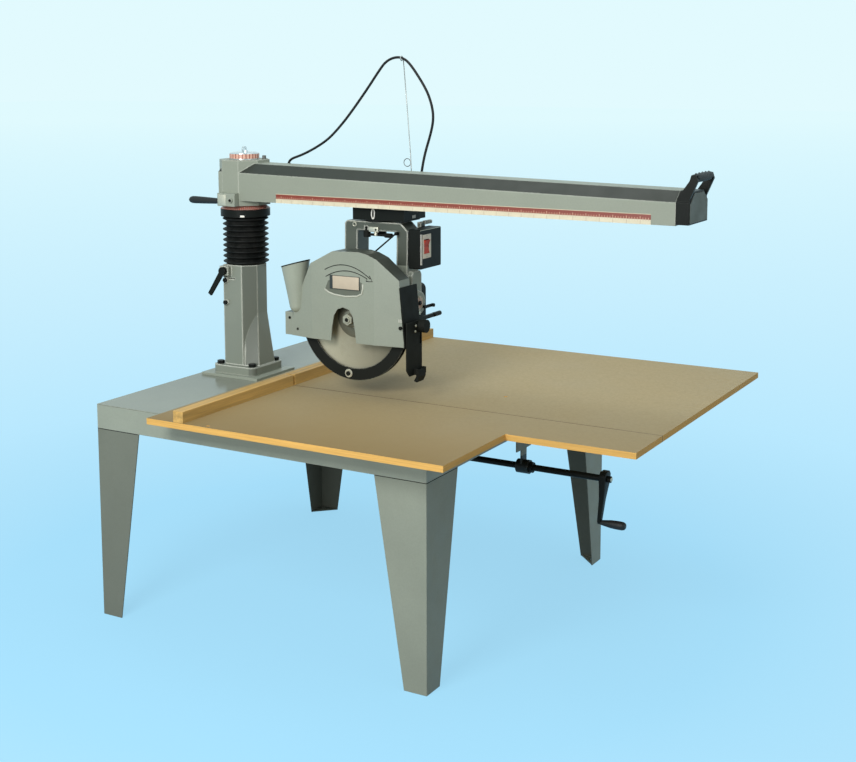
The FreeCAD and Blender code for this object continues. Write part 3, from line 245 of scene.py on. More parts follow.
def metal(name, color, rough, along=None, scratch=0.15, metallic=1.0):
    """Bare metal: turned or ground marks, uneven polish."""
    p = Paint(name)
    _, soft = p.edges(0.0015)
    where = p.stretch(along) if along else None
    lines = p.noise(1.0 if along else 220.0, 4.0, at=where)
    smudge = p.noise(14.0, 4.0)
    tint = p.mix(p.ramp(lines, 0.3, 0.7), shade(color, 0.82), shade(color, 1.05))
    tint = p.mix(p.ramp(smudge, 0.45, 0.75, 0.0, 0.25), tint, shade(color, 0.6))
    gloss = p.ramp(smudge, 0.3, 0.7, rough - 0.06, rough + 0.12)
    return p.done(tint, gloss, metallic, p.bump(lines, scratch, 0.0003, soft))


TO_CAMERA = (-0.7071, -0.7071)  # the column's corner face, seen in plan
HANGER_COLLAR = 0.652  # the crank shaft's hanger is black below this
YOKE_ARCH = 1.335  # the yoke is light grey below this
grey_paint = painted("grey_enamel", GREY, rough=0.40, wear_and_glint_amount=0.45, mottle=0.06)
# The column: its corner face towards the camera is painted in shade, and its ridges carry a
# painted highlight.
column_paint = painted("column_enamel", shade(GREY, 0.76), rough=0.38, wear_and_glint_amount=0.9,
                       wear_and_glint=rgb(226, 230, 218), mottle=0.05, edge=0.008, glint_rim=True,
                       facing=(TO_CAMERA, 0.73, 0.80, SHADED))
deck_paint = painted("deck_enamel", shade(GREY, 0.80), rough=0.16, wear_and_glint_amount=0.4, peel=0.04,
                     mottle=0.05, shine=0.13)
hanger_paint = painted("hanger_enamel", shade(GREY, 0.75), rough=0.45, wear_and_glint_amount=0.4,
                       mottle=0.06, shine=0.25, below=(HANGER_COLLAR, BLACK))
# The legs are toned one by one, since the light in the photo falls off towards the back.
near_leg = painted("near_leg_enamel", shade(GREY, 0.88), rough=0.45, wear_and_glint_amount=0.45,
                   mottle=0.06, shine=0.25)
far_leg = painted("far_leg_enamel", shade(GREY, 0.57), rough=0.45, wear_and_glint_amount=0.3,
                  mottle=0.06, shine=0.2)
shaded_leg = painted("shaded_leg_enamel", SHADED, rough=0.5, wear_and_glint_amount=0.3, wear_and_glint=DEEP_SHADE,
                     mottle=0.06, shine=0.1)
# The right leg is painted lighter, with its inner face in painted shade.
right_leg = painted("right_leg_enamel", shade(GREY, 1.2), rough=0.45, wear_and_glint_amount=0.4,
                    mottle=0.06, shine=0.25, facing=((-1.0, 0.0), 0.5, 0.7, SHADED))
# The arm: its sloping top is painted in shade and its edges carry a painted highlight.
arm_paint = painted("arm_enamel", shade(GREY, 0.96), rough=0.45, wear_and_glint_amount=0.6,
                    wear_and_glint=rgb(206, 212, 200), mottle=0.05, top_shade=DEEP_SHADE, edge=0.006,
                    shine=0.25, glint_rim=True)
plate_paint = painted("end_plate_enamel", rgb(98, 103, 95), rough=0.5, wear_and_glint_amount=0.5,
                      shine=0.25)
# The housing and its spout: faces that lean or lie upwards are painted in shade, and the spout is
# painted lighter as painted light.
guard_paint, spout_paint = (
    painted(name, shade(GREY, tone), rough=0.38, wear_and_glint_amount=0.45, mottle=0.06,
            top_shade=rgb(58, 63, 56), flats_too=True)
    for name, tone in (("guard_enamel", 0.88), ("spout_enamel", 1.06)))
black_paint = painted("black_enamel", BLACK, rough=0.36, wear_and_glint=rgb(110, 114, 112),
                      wear_and_glint_amount=0.4, edge=0.002, shine=0.07)
flat_black = painted("flat_black", rgb(27, 29, 26), rough=0.55, wear_and_glint=rgb(80, 82, 76),
                     wear_and_glint_amount=0.35, shine=0.08)
# The ring guard: a painted highlight along its rims.
ring_black = painted("ring_black", rgb(25, 27, 24), rough=0.5, wear_and_glint=rgb(150, 152, 138),
                     wear_and_glint_amount=0.9, edge=0.005, shine=0.12)
# The yoke: bright lines of painted highlight along its edges.
yoke_paint = painted("yoke_enamel", rgb(80, 86, 78), rough=0.36, wear_and_glint=rgb(236, 240, 228),
                     wear_and_glint_amount=1.0, edge=0.010, shine=0.3, glint_rim=True,
                     below=(YOKE_ARCH, shade(GREY, 0.98)))
plastic = painted("moulded_black", rgb(30, 33, 34), rough=0.5, grain=900.0, peel=0.25,
                  wear_and_glint=rgb(78, 80, 80), wear_and_glint_amount=0.3, shine=0.3)
steel = metal("ground_steel", rgb(176, 178, 178), 0.3, along=(9.0, 9.0, 500.0))
turned_steel = metal("turned_steel", rgb(168, 168, 165), 0.32, along=(500.0, 60.0, 60.0))
chrome = metal("plated", rgb(225, 227, 228), 0.12, scratch=0.03)
iron = metal("machined_iron", rgb(110, 110, 108), 0.5, metallic=0.8)


def board_material(name, top, edge):
    """Fibreboard: mottled fibres on top, painted paler to the right as painted light where the
    lamps fall off, a dark line painted as the shade in the saw's kerf, and pale edges with fine
    layers."""
    p = Paint(name)
    fibre = p.noise(90.0, 6.0, 0.65)
    cloud = p.noise(2.2, 5.0, 0.6)
    left, middle = -0.95, 0.15
    # Painted light: the top is paler to the right, where the lamps light it less.
    away = p.ramp(p.axis(0), left, middle)
    top_tone = p.mix(away, rgb(127, 106, 65), rgb(184, 168, 129))
    face = p.mix(p.ramp(cloud, 0.3, 0.7, 0.16, 0.0), top_tone, shade(top, 0.7))
    face = p.mix(p.ramp(fibre, 0.35, 0.72, 0.0, 0.3), face, shade(top, 0.66))
    layers = p.noise(1.0, 3.0, at=p.stretch((6.0, 6.0, 420.0)))
    side = p.mix(p.ramp(layers, 0.3, 0.7), shade(edge, 0.82), shade(edge, 1.1))
    upright = p.axis(2, "normal")
    tint = p.mix(p.ramp(upright, 0.4, 0.6), side, face)
    # Painted shade: a dark line along the saw's kerf.
    from_kerf = p.math("ABSOLUTE", p.math("SUBTRACT", p.axis(0), blade_middle.x))
    half_kerf = 0.0019
    tint = p.mix(p.math("LESS_THAN", from_kerf, half_kerf), tint, rgb(92, 74, 50))
    return p.done(tint, p.ramp(cloud, 0.3, 0.7, 0.55, 0.72), 0.0, p.bump(fibre, 0.18, 0.0004),
                  Specular_IOR_Level=0.3)


def wood_material(name, color, along):
    """Bare softwood with long grain lines."""
    p = Paint(name)
    warp = p.noise(1.0, 5.0, 0.6, at=p.stretch(along), distort=0.6)
    pores = p.noise(1.0, 3.0, 0.5, at=p.stretch(tuple(v * 9 for v in along)))
    tint = p.mix(p.ramp(warp, 0.32, 0.68), shade(color, 0.68), shade(color, 1.16))
    tint = p.mix(p.ramp(pores, 0.5, 0.75, 0.0, 0.35), tint, shade(color, 0.45))
    return p.done(tint, p.ramp(warp, 0.3, 0.7, 0.5, 0.65), 0.0, p.bump(pores, 0.25, 0.0006))


board = board_material("fibreboard", rgb(161, 142, 98), rgb(218, 172, 94))
softwood = wood_material("fence_wood", rgb(200, 162, 92), (2.0, 60.0, 60.0))


def rubber_material(name, color, rough):
    """Dull black rubber with a little dust."""
    p = Paint(name)
    dust = p.noise(30.0, 5.0)
    tint = p.mix(p.ramp(dust, 0.4, 0.8, 0.0, 0.18), color, rgb(78, 76, 74))
    return p.done(tint, p.ramp(dust, 0.3, 0.7, rough - 0.08, rough + 0.1), 0.0,
                  p.bump(p.noise(500.0, 2.0), 0.15, 0.0003), Specular_IOR_Level=0.15)


rubber = rubber_material("bellows_rubber", rgb(20, 22, 21), 0.5)
cord_rubber = rubber_material("cord_jacket", rgb(28, 29, 30), 0.42)


def rip_material():
    """The scale on the arm: a red band over a cream one, each with ruled lines."""
    p = Paint("rip_rule")
    y = p.axis(1)
    scale_height = 0.036

    def rule(pitch, width):
        """1 on lines of this width, at this pitch along the arm."""
        step = p.math("FRACT", p.math("MULTIPLY", y, 1 / pitch))
        return p.math("LESS_THAN", step, width / pitch)

    high = p.ramp(p.axis(2), beam_low, beam_low + scale_height)
    red = p.math("GREATER_THAN", high, 0.46)
    dots = p.math("MULTIPLY", rule(0.010, 0.003), p.math("LESS_THAN", high, 0.64))
    tall = p.math("MULTIPLY", rule(0.050, 0.003), p.math("LESS_THAN", high, 0.74))
    small = p.math("MULTIPLY", rule(0.010, 0.0016), p.math("GREATER_THAN", high, 0.33))
    light = p.math("MULTIPLY", p.math("MAXIMUM", dots, tall), 0.7)
    dark = p.math("MULTIPLY", p.math("MAXIMUM", small, rule(0.050, 0.002)), 0.45)
    grime = p.ramp(p.noise(40.0, 4.0), 0.3, 0.7)
    above_it = p.mix(light, rgb(132, 52, 36), rgb(222, 180, 150))
    below_it = p.mix(dark, rgb(222, 214, 188), rgb(150, 110, 84))
    frame_line = p.math("GREATER_THAN", high, 0.95)
    tint = p.mix(red, below_it, above_it)
    tint = p.mix(frame_line, tint, rgb(214, 204, 176))
    tint = p.mix(p.math("MULTIPLY", grime, 0.12), tint, rgb(90, 80, 70))
    return p.done(tint, 0.4, 0.0, p.bump(p.noise(300.0), 0.05, 0.0002))


def dial_material(name, centre, upright, ring_color, mark_color, count, low, high):
    """A round scale: count lines run outwards, from radius low to high, about an axis
    through a centre. The axis is Z when upright, else Y."""
    p = Paint(name)
    u = p.math("SUBTRACT", p.axis(0), centre[0])
    v = p.math("SUBTRACT", p.axis(1 if upright else 2), centre[1])
    turn = p.math("ARCTAN2", v, u)
    step = p.math("FRACT", p.math("MULTIPLY", turn, count / (2 * math.pi)))
    line = p.math("LESS_THAN", step, 0.28)
    reach = p.distance(u, v)
    band = p.math("MULTIPLY", p.math("GREATER_THAN", reach, low), p.math("LESS_THAN", reach, high))
    tint = p.mix(p.math("MULTIPLY", line, band), ring_color, mark_color)
    tint = p.mix(p.ramp(p.noise(60.0, 4.0), 0.4, 0.75, 0.0, 0.25), tint, shade(ring_color, 0.5))
    return p.done(tint, 0.38, 0.0, p.bump(p.noise(400.0), 0.05, 0.0002))


rip_rule = rip_material()
ring_scale = dial_material("ring_scale", (column.x, column.y), True, rgb(150, 48, 38),
                           rgb(232, 214, 196), 72, 0.083, 0.2)
dial_low, dial_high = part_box("bevel_dial")
dial_middle = (dial_low + dial_high) / 2
bevel_scale = dial_material("bevel_scale", (dial_middle.x, dial_middle.z), False,
                            rgb(204, 190, 170), rgb(186, 58, 40), 30, 0.008, 0.019)


def blade_material():
    """Ground plate: fine circular marks, a little resin, and a painted sheen, light to one side
    and darkened to the other.
    """
    p = Paint("saw_plate")
    v = p.math("SUBTRACT", p.axis(1), blade_middle.y)
    w = p.math("SUBTRACT", p.axis(2), blade_middle.z)
    ringed = p.tree.nodes.new("ShaderNodeCombineXYZ")
    p.link(p.distance(v, w), ringed.inputs[0])
    marks = p.noise(900.0, 4.0, at=ringed.outputs[0])
    smear = p.noise(12.0, 5.0)
    steel_tone = rgb(190, 186, 164)
    tint = p.mix(p.ramp(marks, 0.3, 0.7), shade(steel_tone, 0.8), shade(steel_tone, 1.08))
    tint = p.mix(p.ramp(smear, 0.5, 0.8, 0.0, 0.4), tint, rgb(120, 108, 92))
    # Painted sheen: darker away from where the plate catches the light.
    sheen = p.ramp(p.math("ADD", v, p.math("MULTIPLY", w, -0.5)), -0.10, 0.20)
    tint = p.mix(p.math("SUBTRACT", 0.85, p.math("MULTIPLY", sheen, 0.85)), tint,
                 rgb(88, 84, 68))
    return p.done(tint, p.ramp(smear, 0.3, 0.7, 0.42, 0.55), 0.45, p.bump(marks, 0.12, 0.0003))


blade_metal = blade_material()


def plain_gloss(name, color, rough, coat):
    """Plain moulded or printed parts with a faint unevenness."""
    p = Paint(name)
    _, soft = p.edges(0.0015)
    tint = p.mix(p.ramp(p.noise(40.0, 3.0), 0.35, 0.7, 0.0, 0.2), color, shade(color, 0.75))
    return p.done(tint, p.ramp(p.noise(25.0, 3.0), 0.3, 0.7, rough - 0.05, rough + 0.08), 0.0,
                  p.bump(p.noise(600.0), 0.06, 0.0002, soft), Coat_Weight=coat)


switch_red = plain_gloss("switch_red", rgb(206, 62, 34), 0.5, 0.0)
cream_plate = plain_gloss("cream_plate", rgb(240, 234, 216), 0.4, 0.1)
white_mark = plain_gloss("white_mark", rgb(238, 238, 230), 0.45, 0.0)
dark_plate = plain_gloss("dark_plate", rgb(40, 44, 41), 0.4, 0.1)
bare_plate = plain_gloss("bare_plate", rgb(190, 178, 158), 0.4, 0.1)
pocket_shade = plain_gloss("pocket_shade", rgb(92, 97, 86), 0.5, 0.0)
cap_scale = dial_material("cap_scale", (column.x, column.y), True, rgb(222, 176, 156),
                          rgb(140, 62, 50), 26, 0.05, 0.07)
arbor_steel = metal("arbor_steel", rgb(166, 164, 146), 0.42, scratch=0.08, metallic=0.5)
flange_steel = metal("flange_steel", rgb(112, 112, 98), 0.45, scratch=0.08, metallic=0.5)
seam_paint = plain_gloss("seam_paint", rgb(186, 190, 178), 0.5, 0.0)
light_steel = metal("light_steel", rgb(202, 198, 180), 0.4, scratch=0.08, metallic=0.7)

DRESS = {
    grey_paint: "frame_apron column_base_plate miter_lock_block",
    hanger_paint: "shaft_hanger",
    near_leg: "leg_front_left",
    far_leg: "leg_back_left",
    shaded_leg: "leg_back_right",
    right_leg: "leg_front_right",
    column_paint: "column_casting",
    deck_paint: "frame_deck",
    arm_paint: "arm_casting",
    plate_paint: "end_cap_plate",
    guard_paint: "guard_housing dust_spout",
    board: "table_board table_rear_strip",
    softwood: "table_fence",
    black_paint: "column_bolts column_collar end_cap carriage_casting motor_housing switch_box "
                 "crank_arm bevel_clamp_lever bevel_latch_lever "
                 "column_lock_lever elevating_shaft",
    flat_black: "guard_front_plate kickback_bar kickback_pawl kickback_knob "
                "swivel_clamp_handle",
    ring_black: "lower_ring_guard",
    yoke_paint: "yoke_casting",
    steel: "inner_column lift_screw",
    turned_steel: "arm_track_rods roller_1 roller_2 roller_3 roller_4 roller_axles cord_whip",
    arbor_steel: "arbor_shaft",
    rubber: "bellows",
    cord_rubber: "cord",
    plastic: "crank_grip end_handle miter_lock_handle cord_gland",
    ring_scale: "miter_scale_ring",
    bevel_scale: "bevel_dial",
    rip_rule: "rip_scale",
    chrome: "column_cap",
    iron: "gear_bracket drive_bevel_gear driven_bevel_gear",
    blade_metal: "saw_blade",
    switch_red: "switch_rocker",
}
for material, names in DRESS.items():
    for name in names.split():
        piece = nodes[name]
        for slot_of in piece.material_slots:
            slot_of.material = material

# -------------------------------------------------- camera, light, floor
# The camera stands where the photo was taken from, found from corners of known place.
camera = bpy.data.cameras.new("camera")
camera.sensor_width = 36.0
camera.lens = 58.0
camera.shift_y = -0.15
eye = bpy.data.objects.new("camera", camera)
scene.collection.objects.link(eye)
eye_place = (-4.53607, -2.8917, 2.08826)
yaw, pitch, roll = 0.51959, -0.1344, -0.00168
ahead = Vector((math.cos(yaw) * math.cos(pitch), math.sin(yaw) * math.cos(pitch), math.sin(pitch)))
side = Vector((math.sin(yaw), -math.cos(yaw), 0.0))
above = side.cross(ahead)
side, above = (side * math.cos(roll) + above * math.sin(roll),
               above * math.cos(roll) - side * math.sin(roll))
turn = Matrix((side, above, -ahead)).transposed()
eye.matrix_world = Matrix.Translation(eye_place) @ turn.to_4x4()
scene.camera = eye
scene.view_settings.view_transform = "Standard"

world = bpy.data.worlds.new("studio")
scene.world = world
world.use_nodes = True
wt = world.node_tree
wt.nodes.clear()
# The backdrop shows in the camera and in reflections; the light from it is soft and white.
path = wt.nodes.new("ShaderNodeLightPath")
seen = None
for ray in ("Is Camera Ray", "Is Transmission Ray", "Is Glossy Ray"):
    if seen is None:
        seen = path.outputs[ray]
        continue
    either = wt.nodes.new("ShaderNodeMath")
    either.operation = "MAXIMUM"
    wt.links.new(seen, either.inputs[0])
    wt.links.new(path.outputs[ray], either.inputs[1])
    seen = either.outputs[0]
soft_light = wt.nodes.new("ShaderNodeBackground")
soft_light.inputs["Color"].default_value = (0.95, 0.98, 1.0, 1.0)
soft_light.inputs["Strength"].default_value = 0.36
backdrop = wt.nodes.new("ShaderNodeBackground")
backdrop.inputs["Color"].default_value = rgb(226, 250, 254) + (1.0,)
chosen = wt.nodes.new("ShaderNodeMixShader")
wt.links.new(seen, chosen.inputs[0])
wt.links.new(soft_light.outputs[0], chosen.inputs[1])
wt.links.new(backdrop.outputs[0], chosen.inputs[2])
out = wt.nodes.new("ShaderNodeOutputWorld")
wt.links.new(chosen.outputs[0], out.inputs["Surface"])


def lamp(name, place, target, size, power, color=(1.0, 1.0, 1.0)):
    """A square lamp at a place, aimed at a target."""
    data = bpy.data.lights.new(name, "AREA")
    data.size = size
    data.energy = power
    data.color = color
    obj = bpy.data.objects.new(name, data)
    scene.collection.objects.link(obj)
    obj.location = place
    obj.rotation_euler = (Vector(target) - Vector(place)).to_track_quat("-Z", "Y").to_euler()


lamp("key", (-3.6, -0.3, 3.0), (0, -0.1, 1.2), 1.4, 104, (1.0, 0.99, 0.955))
lamp("low", (-5.2, -0.2, 1.6), (0, 0, 0.9), 1.8, 58, (1.0, 0.99, 0.97))
lamp("front", (-1.5, -5.0, 2.6), (0, 0, 0.9), 2.6, 18, (1.0, 0.98, 0.94))
lamp("top", (0.4, -0.2, 4.6), (0, 0, 0.9), 2.5, 46)

FLOOR_REACH = 60
floor_mesh = bpy.data.meshes.new("floor")
floor_mesh.from_pydata([(x * FLOOR_REACH, y * FLOOR_REACH, 0)
                        for x, y in ((-1, -1), (1, -1), (1, 1), (-1, 1))], [], [(0, 1, 2, 3)])
floor = bpy.data.objects.new("floor", floor_mesh)
floor.location.z = -0.0005  # just clear of the feet
scene.collection.objects.link(floor)
f = Paint("floor")
floor_mesh.materials.append(f.mat)
f.tree.nodes.remove(f.shader)
# The backdrop is a paler blue the further it lies from the machine.
where = f.tree.nodes.new("ShaderNodeVectorMath")
where.operation = "LENGTH"
f.link(f.place(), where.inputs[0])
reach = f.math("LOGARITHM", f.math("MAXIMUM", where.outputs["Value"], 1.0), 50.0)
fade = f.tree.nodes.new("ShaderNodeValToRGB")
steps = ((0.10, rgb(170, 227, 255)), (0.50, rgb(199, 238, 254)), (0.72, rgb(211, 244, 254)),
         (1.0, rgb(224, 250, 254)))
while len(fade.color_ramp.elements) < len(steps):
    fade.color_ramp.elements.new(0.5)
for stop, (spot, color) in zip(fade.color_ramp.elements, steps):
    stop.position = spot
    stop.color = color + (1.0,)
f.link(reach, fade.inputs[0])
lit = f.tree.nodes.new("ShaderNodeBsdfDiffuse")
f.link(fade.outputs[0], lit.inputs["Color"])
glow = f.tree.nodes.new("ShaderNodeEmission")
f.link(fade.outputs[0], glow.inputs["Color"])
shown = f.tree.nodes.new("ShaderNodeMixShader")
f.link(f.ramp(where.outputs["Value"], 1.0, 3.2, 0.82, 1.0), shown.inputs[0])
f.link(lit.outputs[0], shown.inputs[1])
f.link(glow.outputs[0], shown.inputs[2])
bounce = f.tree.nodes.new("ShaderNodeBsdfDiffuse")
bounce.inputs["Color"].default_value = (0.30, 0.33, 0.34, 1.0)
both = f.tree.nodes.new("ShaderNodeMixShader")
rays = f.tree.nodes.new("ShaderNodeLightPath")
direct = f.math("MAXIMUM", rays.outputs["Is Camera Ray"],
                f.math("MAXIMUM", rays.outputs["Is Glossy Ray"],
                       rays.outputs["Is Transmission Ray"]))
# Light that bounces off the floor is grey, so that the pale blue does not tint the legs.
f.link(direct, both.inputs[0])
f.link(bounce.outputs[0], both.inputs[1])
f.link(shown.outputs[0], both.inputs[2])
f.link(both.outputs[0], f.tree.nodes["Material Output"].inputs["Surface"])


# -------------------------------------------------- mesh helpers
LEFT, FRONT, UP = (-1, 0, 0), (0, -1, 0), (0, 0, 1)


def make(name, verts, faces, material, smooth=False):
    """A mesh object in one material."""
    mesh = bpy.data.meshes.new(name)
    mesh.from_pydata([tuple(v) for v in verts], [], faces)
    mesh.materials.append(material)
    obj = bpy.data.objects.new(name, mesh)
    scene.collection.objects.link(obj)
    if smooth:
        for polygon in mesh.polygons:
            polygon.use_smooth = True
    return obj


def soften(obj, width, keep_sharp=40):
    """Turns the faces outwards, rounds the sharp edges for good and shades the rest smooth."""
    bm = bmesh.new()
    bm.from_mesh(obj.data)
    bmesh.ops.recalc_face_normals(bm, faces=bm.faces)
    sharp = [e for e in bm.edges if len(e.link_faces) == 2
             and e.calc_face_angle(0) > math.radians(35)]
    if width > 0 and sharp:
        bmesh.ops.bevel(bm, geom=sharp, offset=width, segments=2, profile=0.6,
                        affect="EDGES", clamp_overlap=True)
    bm.to_mesh(obj.data)
    bm.free()
    for polygon in obj.data.polygons:
        polygon.use_smooth = True
    obj.data.set_sharp_from_angle(angle=math.radians(keep_sharp))
    return obj


def skin(rings, sides, closed=False):
    """Quads between rings of vertices; closed joins the last ring to the first."""
    faces = []
    for ring in range(rings if closed else rings - 1):
        here, there = ring * sides, (ring + 1) % rings * sides
        for k in range(sides):
            m = (k + 1) % sides
            faces.append((here + k, here + m, there + m, there + k))
    return faces


def ends(rings, sides):
    """The two faces that close a row of rings."""
    last = (rings - 1) * sides
    return [tuple(reversed(range(sides))), tuple(range(last, last + sides))]


def lathe(name, profile, centre, axis, material, steps, caps=True):
    """Turns a profile of (distance along, radius) about an axis through a centre."""
    axis = Vector(axis).normalized()
    u = axis.orthogonal().normalized()
    v = axis.cross(u)
    verts = []
    for along, radius in profile:
        for k in range(steps):
            a = 2 * math.pi * k / steps
            verts.append(Vector(centre) + axis * along
                         + (u * math.cos(a) + v * math.sin(a)) * radius)
    faces = skin(len(profile), steps)
    if caps:
        faces += ends(len(profile), steps)
    return soften(make(name, verts, faces, material), 0.0, 38)


def slab(name, low, high, material, width):
    """A block with eased edges."""
    (a, b, c), (d, e, g) = low, high
    verts = [(x, y, z) for x in (a, d) for y in (b, e) for z in (c, g)]
    faces = [(0, 1, 3, 2), (4, 6, 7, 5), (0, 4, 5, 1), (2, 3, 7, 6), (0, 2, 6, 4), (1, 5, 7, 3)]
    return soften(make(name, verts, faces, material), width)


def extruded(name, outline, low, high, axis, material, width):
    """An upright flat outline pushed along X or Y between two levels."""
    def spot(u, v, w):
        return (w, u, v) if axis == "X" else (u, w, v)
    n = len(outline)
    verts = [spot(u, v, low) for u, v in outline] + [spot(u, v, high) for u, v in outline]
    faces = [tuple(range(n)), tuple(range(n, 2 * n))]
    faces += [(k, (k + 1) % n, n + (k + 1) % n, n + k) for k in range(n)]
    return soften(make(name, verts, faces, material), width)


def tube(name, points, radius, material, sides, closed=False):
    """A round tube along points; its sides keep their place from ring to ring."""
    pts = [Vector(p) for p in points]
    n = len(pts)
    verts = []
    normal = None
    for k, p in enumerate(pts):
        if closed:
            heading = (pts[(k + 1) % n] - pts[k - 1]).normalized()
        else:
            heading = (pts[min(k + 1, n - 1)] - pts[max(k - 1, 0)]).normalized()
        if normal is None:
            normal = heading.orthogonal().normalized()
        normal = (normal - heading * normal.dot(heading)).normalized()
        across = heading.cross(normal)
        for s in range(sides):
            a = 2 * math.pi * s / sides
            verts.append(p + (normal * math.cos(a) + across * math.sin(a)) * radius)
    faces = skin(n, sides, closed)
    if not closed:
        faces += ends(n, sides)
    return make(name, verts, faces, material, True)


def oval(x, y, z, along, up, count):
    """Points of an upright oval across X, with its half axes along the arm and up."""
    angles = [k * math.pi / (count / 2) for k in range(count)]
    return [at(x, y + along * math.cos(a), z + up * math.sin(a)) for a in angles]


# -------------------------------------------------- the cord
CORD_ROUTE = [
    at(0.083, 0.390, 0.167), at(0.083, 0.3870, 0.182), at(0.0843, 0.327, 0.2010),
    at(0.0856, 0.264, 0.2297), at(0.087, 0.201, 0.266), at(0.0883, 0.1496, 0.3125),
    at(0.0896, 0.0985, 0.367), at(0.0922, 0.018, 0.4655), at(0.0949, -0.046, 0.551),
    at(0.0962, -0.070, 0.576), at(0.0975, -0.1035, 0.591), at(0.0988, -0.140, 0.591),
    at(0.1001, -0.174, 0.568), at(0.1028, -0.226, 0.497), at(0.1043, -0.253, 0.451),
    at(0.1058, -0.270, 0.400), at(0.107, -0.274, 0.355), at(0.1085, -0.262, 0.302),
    at(0.1107, -0.231, 0.215), at(0.1125, -0.214, 0.130), at(0.114, -0.205, 0.080),
    at(0.114, -0.205, 0.034),
]
curve = bpy.data.curves.new("cord_line", "CURVE")
curve.dimensions = "3D"
spline = curve.splines.new("NURBS")
spline.points.add(len(CORD_ROUTE) - 1)
for spot, p in zip(spline.points, CORD_ROUTE):
    spot.co = (p.x, p.y, p.z, 1.0)
# A spline of order 3 rounds the corners of the route without swinging past them.
spline.order_u = 3
spline.use_endpoint_u = True
spline.resolution_u = 10
line = bpy.data.objects.new("cord_line", curve)
scene.collection.objects.link(line)
line_mesh = bpy.data.meshes.new_from_object(line)
cord_path = [v.co.copy() for v in line_mesh.vertices]
bpy.data.objects.remove(line)
cord = tube("power_cord", cord_path, 0.005, cord_rubber, 14)
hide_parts("cord")
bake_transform(cord)

# The whip: a thin leaning rod with an eye for the cord, a coil at its foot and a loose ring.
WHIP_X, WHIP_Y, WHIP_RADIUS = 0.104, -0.182, 0.0019
rod_points = [at(WHIP_X, y, z) for y, z in
              ((WHIP_Y, 0.010), (WHIP_Y, 0.060), (-0.1736, 0.2136), (-0.158, 0.405),
               (-0.1425, 0.586))]
eye_ring = [at(0.0988 + 0.0085 * math.cos(a), -0.138, 0.5870 + 0.0085 * math.sin(a))
            for a in (k * math.pi / 10 for k in range(20))]
whip = tube("whip_rod", rod_points, WHIP_RADIUS, turned_steel, 8)
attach(whip, "carriage")
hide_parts("cord_whip")
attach(tube("whip_eye", eye_ring, WHIP_RADIUS, turned_steel, 8, closed=True), "carriage")
coil_turns, coil_pitch, coil_radius = 9, 0.0034, 0.0095
coil = [(column.x + WHIP_X + coil_radius * math.cos(a), WHIP_Y + coil_radius * math.sin(a),
         head_low + 0.040 + coil_pitch * a / (2 * math.pi))
        for a in [k * math.pi / 6 for k in range(12 * coil_turns)]]
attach(tube("whip_coil", coil, 0.0014, turned_steel, 6), "carriage")
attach(tube("whip_loop", oval(WHIP_X, -0.1585, 0.1857, 0.0152, 0.0152, 28), 0.0015, iron, 6,
             closed=True), "carriage")

# -------------------------------------------------- bellows
low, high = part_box("bellows")
FOLDS, VALLEY, CUFF = 9, 0.0778, 0.074
profile = []
pitch = (high.z - low.z) / FOLDS
for k in range(FOLDS):
    base = k * pitch
    for share, radius in ((0.0, VALLEY), (0.12, 0.0800), (0.36, 0.0905), (0.44, 0.0932),
                          (0.5, 0.0934), (0.56, 0.0932), (0.64, 0.0905), (0.88, 0.0800)):
        profile.append((base + share * pitch, radius))
profile.append((high.z - low.z, VALLEY))
profile = [(0.0, CUFF)] + profile + [(high.z - low.z, CUFF)]
bellows = lathe("bellows_folds", profile, (column.x, column.y, low.z), UP, rubber, 64)
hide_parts("bellows")
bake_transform(bellows)

# -------------------------------------------------- pull handle
# A swelling grip with seven ridges that wind round it, and plain ends.
low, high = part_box("end_handle")
grip_centre = (low + high) / 2
length = high.x - low.x
verts = []
steps, sides = 90, 48
for k in range(steps + 1):
    share = k / steps
    for s in range(sides):
        a = 2 * math.pi * s / sides
        swell = 0.0138 + 0.0016 * math.sin(math.pi * share)
        ridge = 0.0016 * math.cos(7 * (a + share * 4.2))
        if share < 0.05 or share > 0.95:
            ridge, swell = 0.0, 0.0125
        r = swell + ridge
        verts.append((low.x + length * share, grip_centre.y + r * math.cos(a),
                      grip_centre.z + r * math.sin(a)))
closing = [tuple(reversed(face)) for face in ends(steps + 1, sides)]
handle = make("pull_grip", verts, skin(steps + 1, sides) + closing, plastic, True)
handle.data.set_sharp_from_angle(angle=math.radians(50))
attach(handle, "arm")
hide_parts("end_handle")

# -------------------------------------------------- small parts
def head(name, spot, axis, radius, height, material, body, sides=6):
    """A screw or nut head with a chamfered rim, six-sided or round."""
    rim = min(radius * 0.2, height * 0.4)
    profile = [(0.0, radius), (height - rim, radius), (height, radius - rim)]
    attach(lathe(name, profile, spot, axis, material, sides), body)


def block(name, low, high, material, width, body):
    """A block with eased edges between two points of at(), riding on a body."""
    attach(slab(name, at(*low), at(*high), material, width), body)


def surround(name, outer, inner, low, high, material):
    """An upright flat plate across Y with a window: outer and inner are x0, z0, x1, z1."""
    def ring(box, y):
        x0, z0, x1, z1 = box
        return [at(x0, y, z0), at(x1, y, z0), at(x1, y, z1), at(x0, y, z1)]
    verts = ring(outer, low) + ring(inner, low) + ring(outer, high) + ring(inner, high)
    faces = []
    for k in range(4):
        m = (k + 1) % 4
        faces += [(k, m, 4 + m, 4 + k), (8 + k, 8 + m, 12 + m, 12 + k),
                  (k, m, 8 + m, 8 + k), (4 + k, 4 + m, 12 + m, 12 + k)]
    return soften(make(name, verts, faces, material), 0.0006)


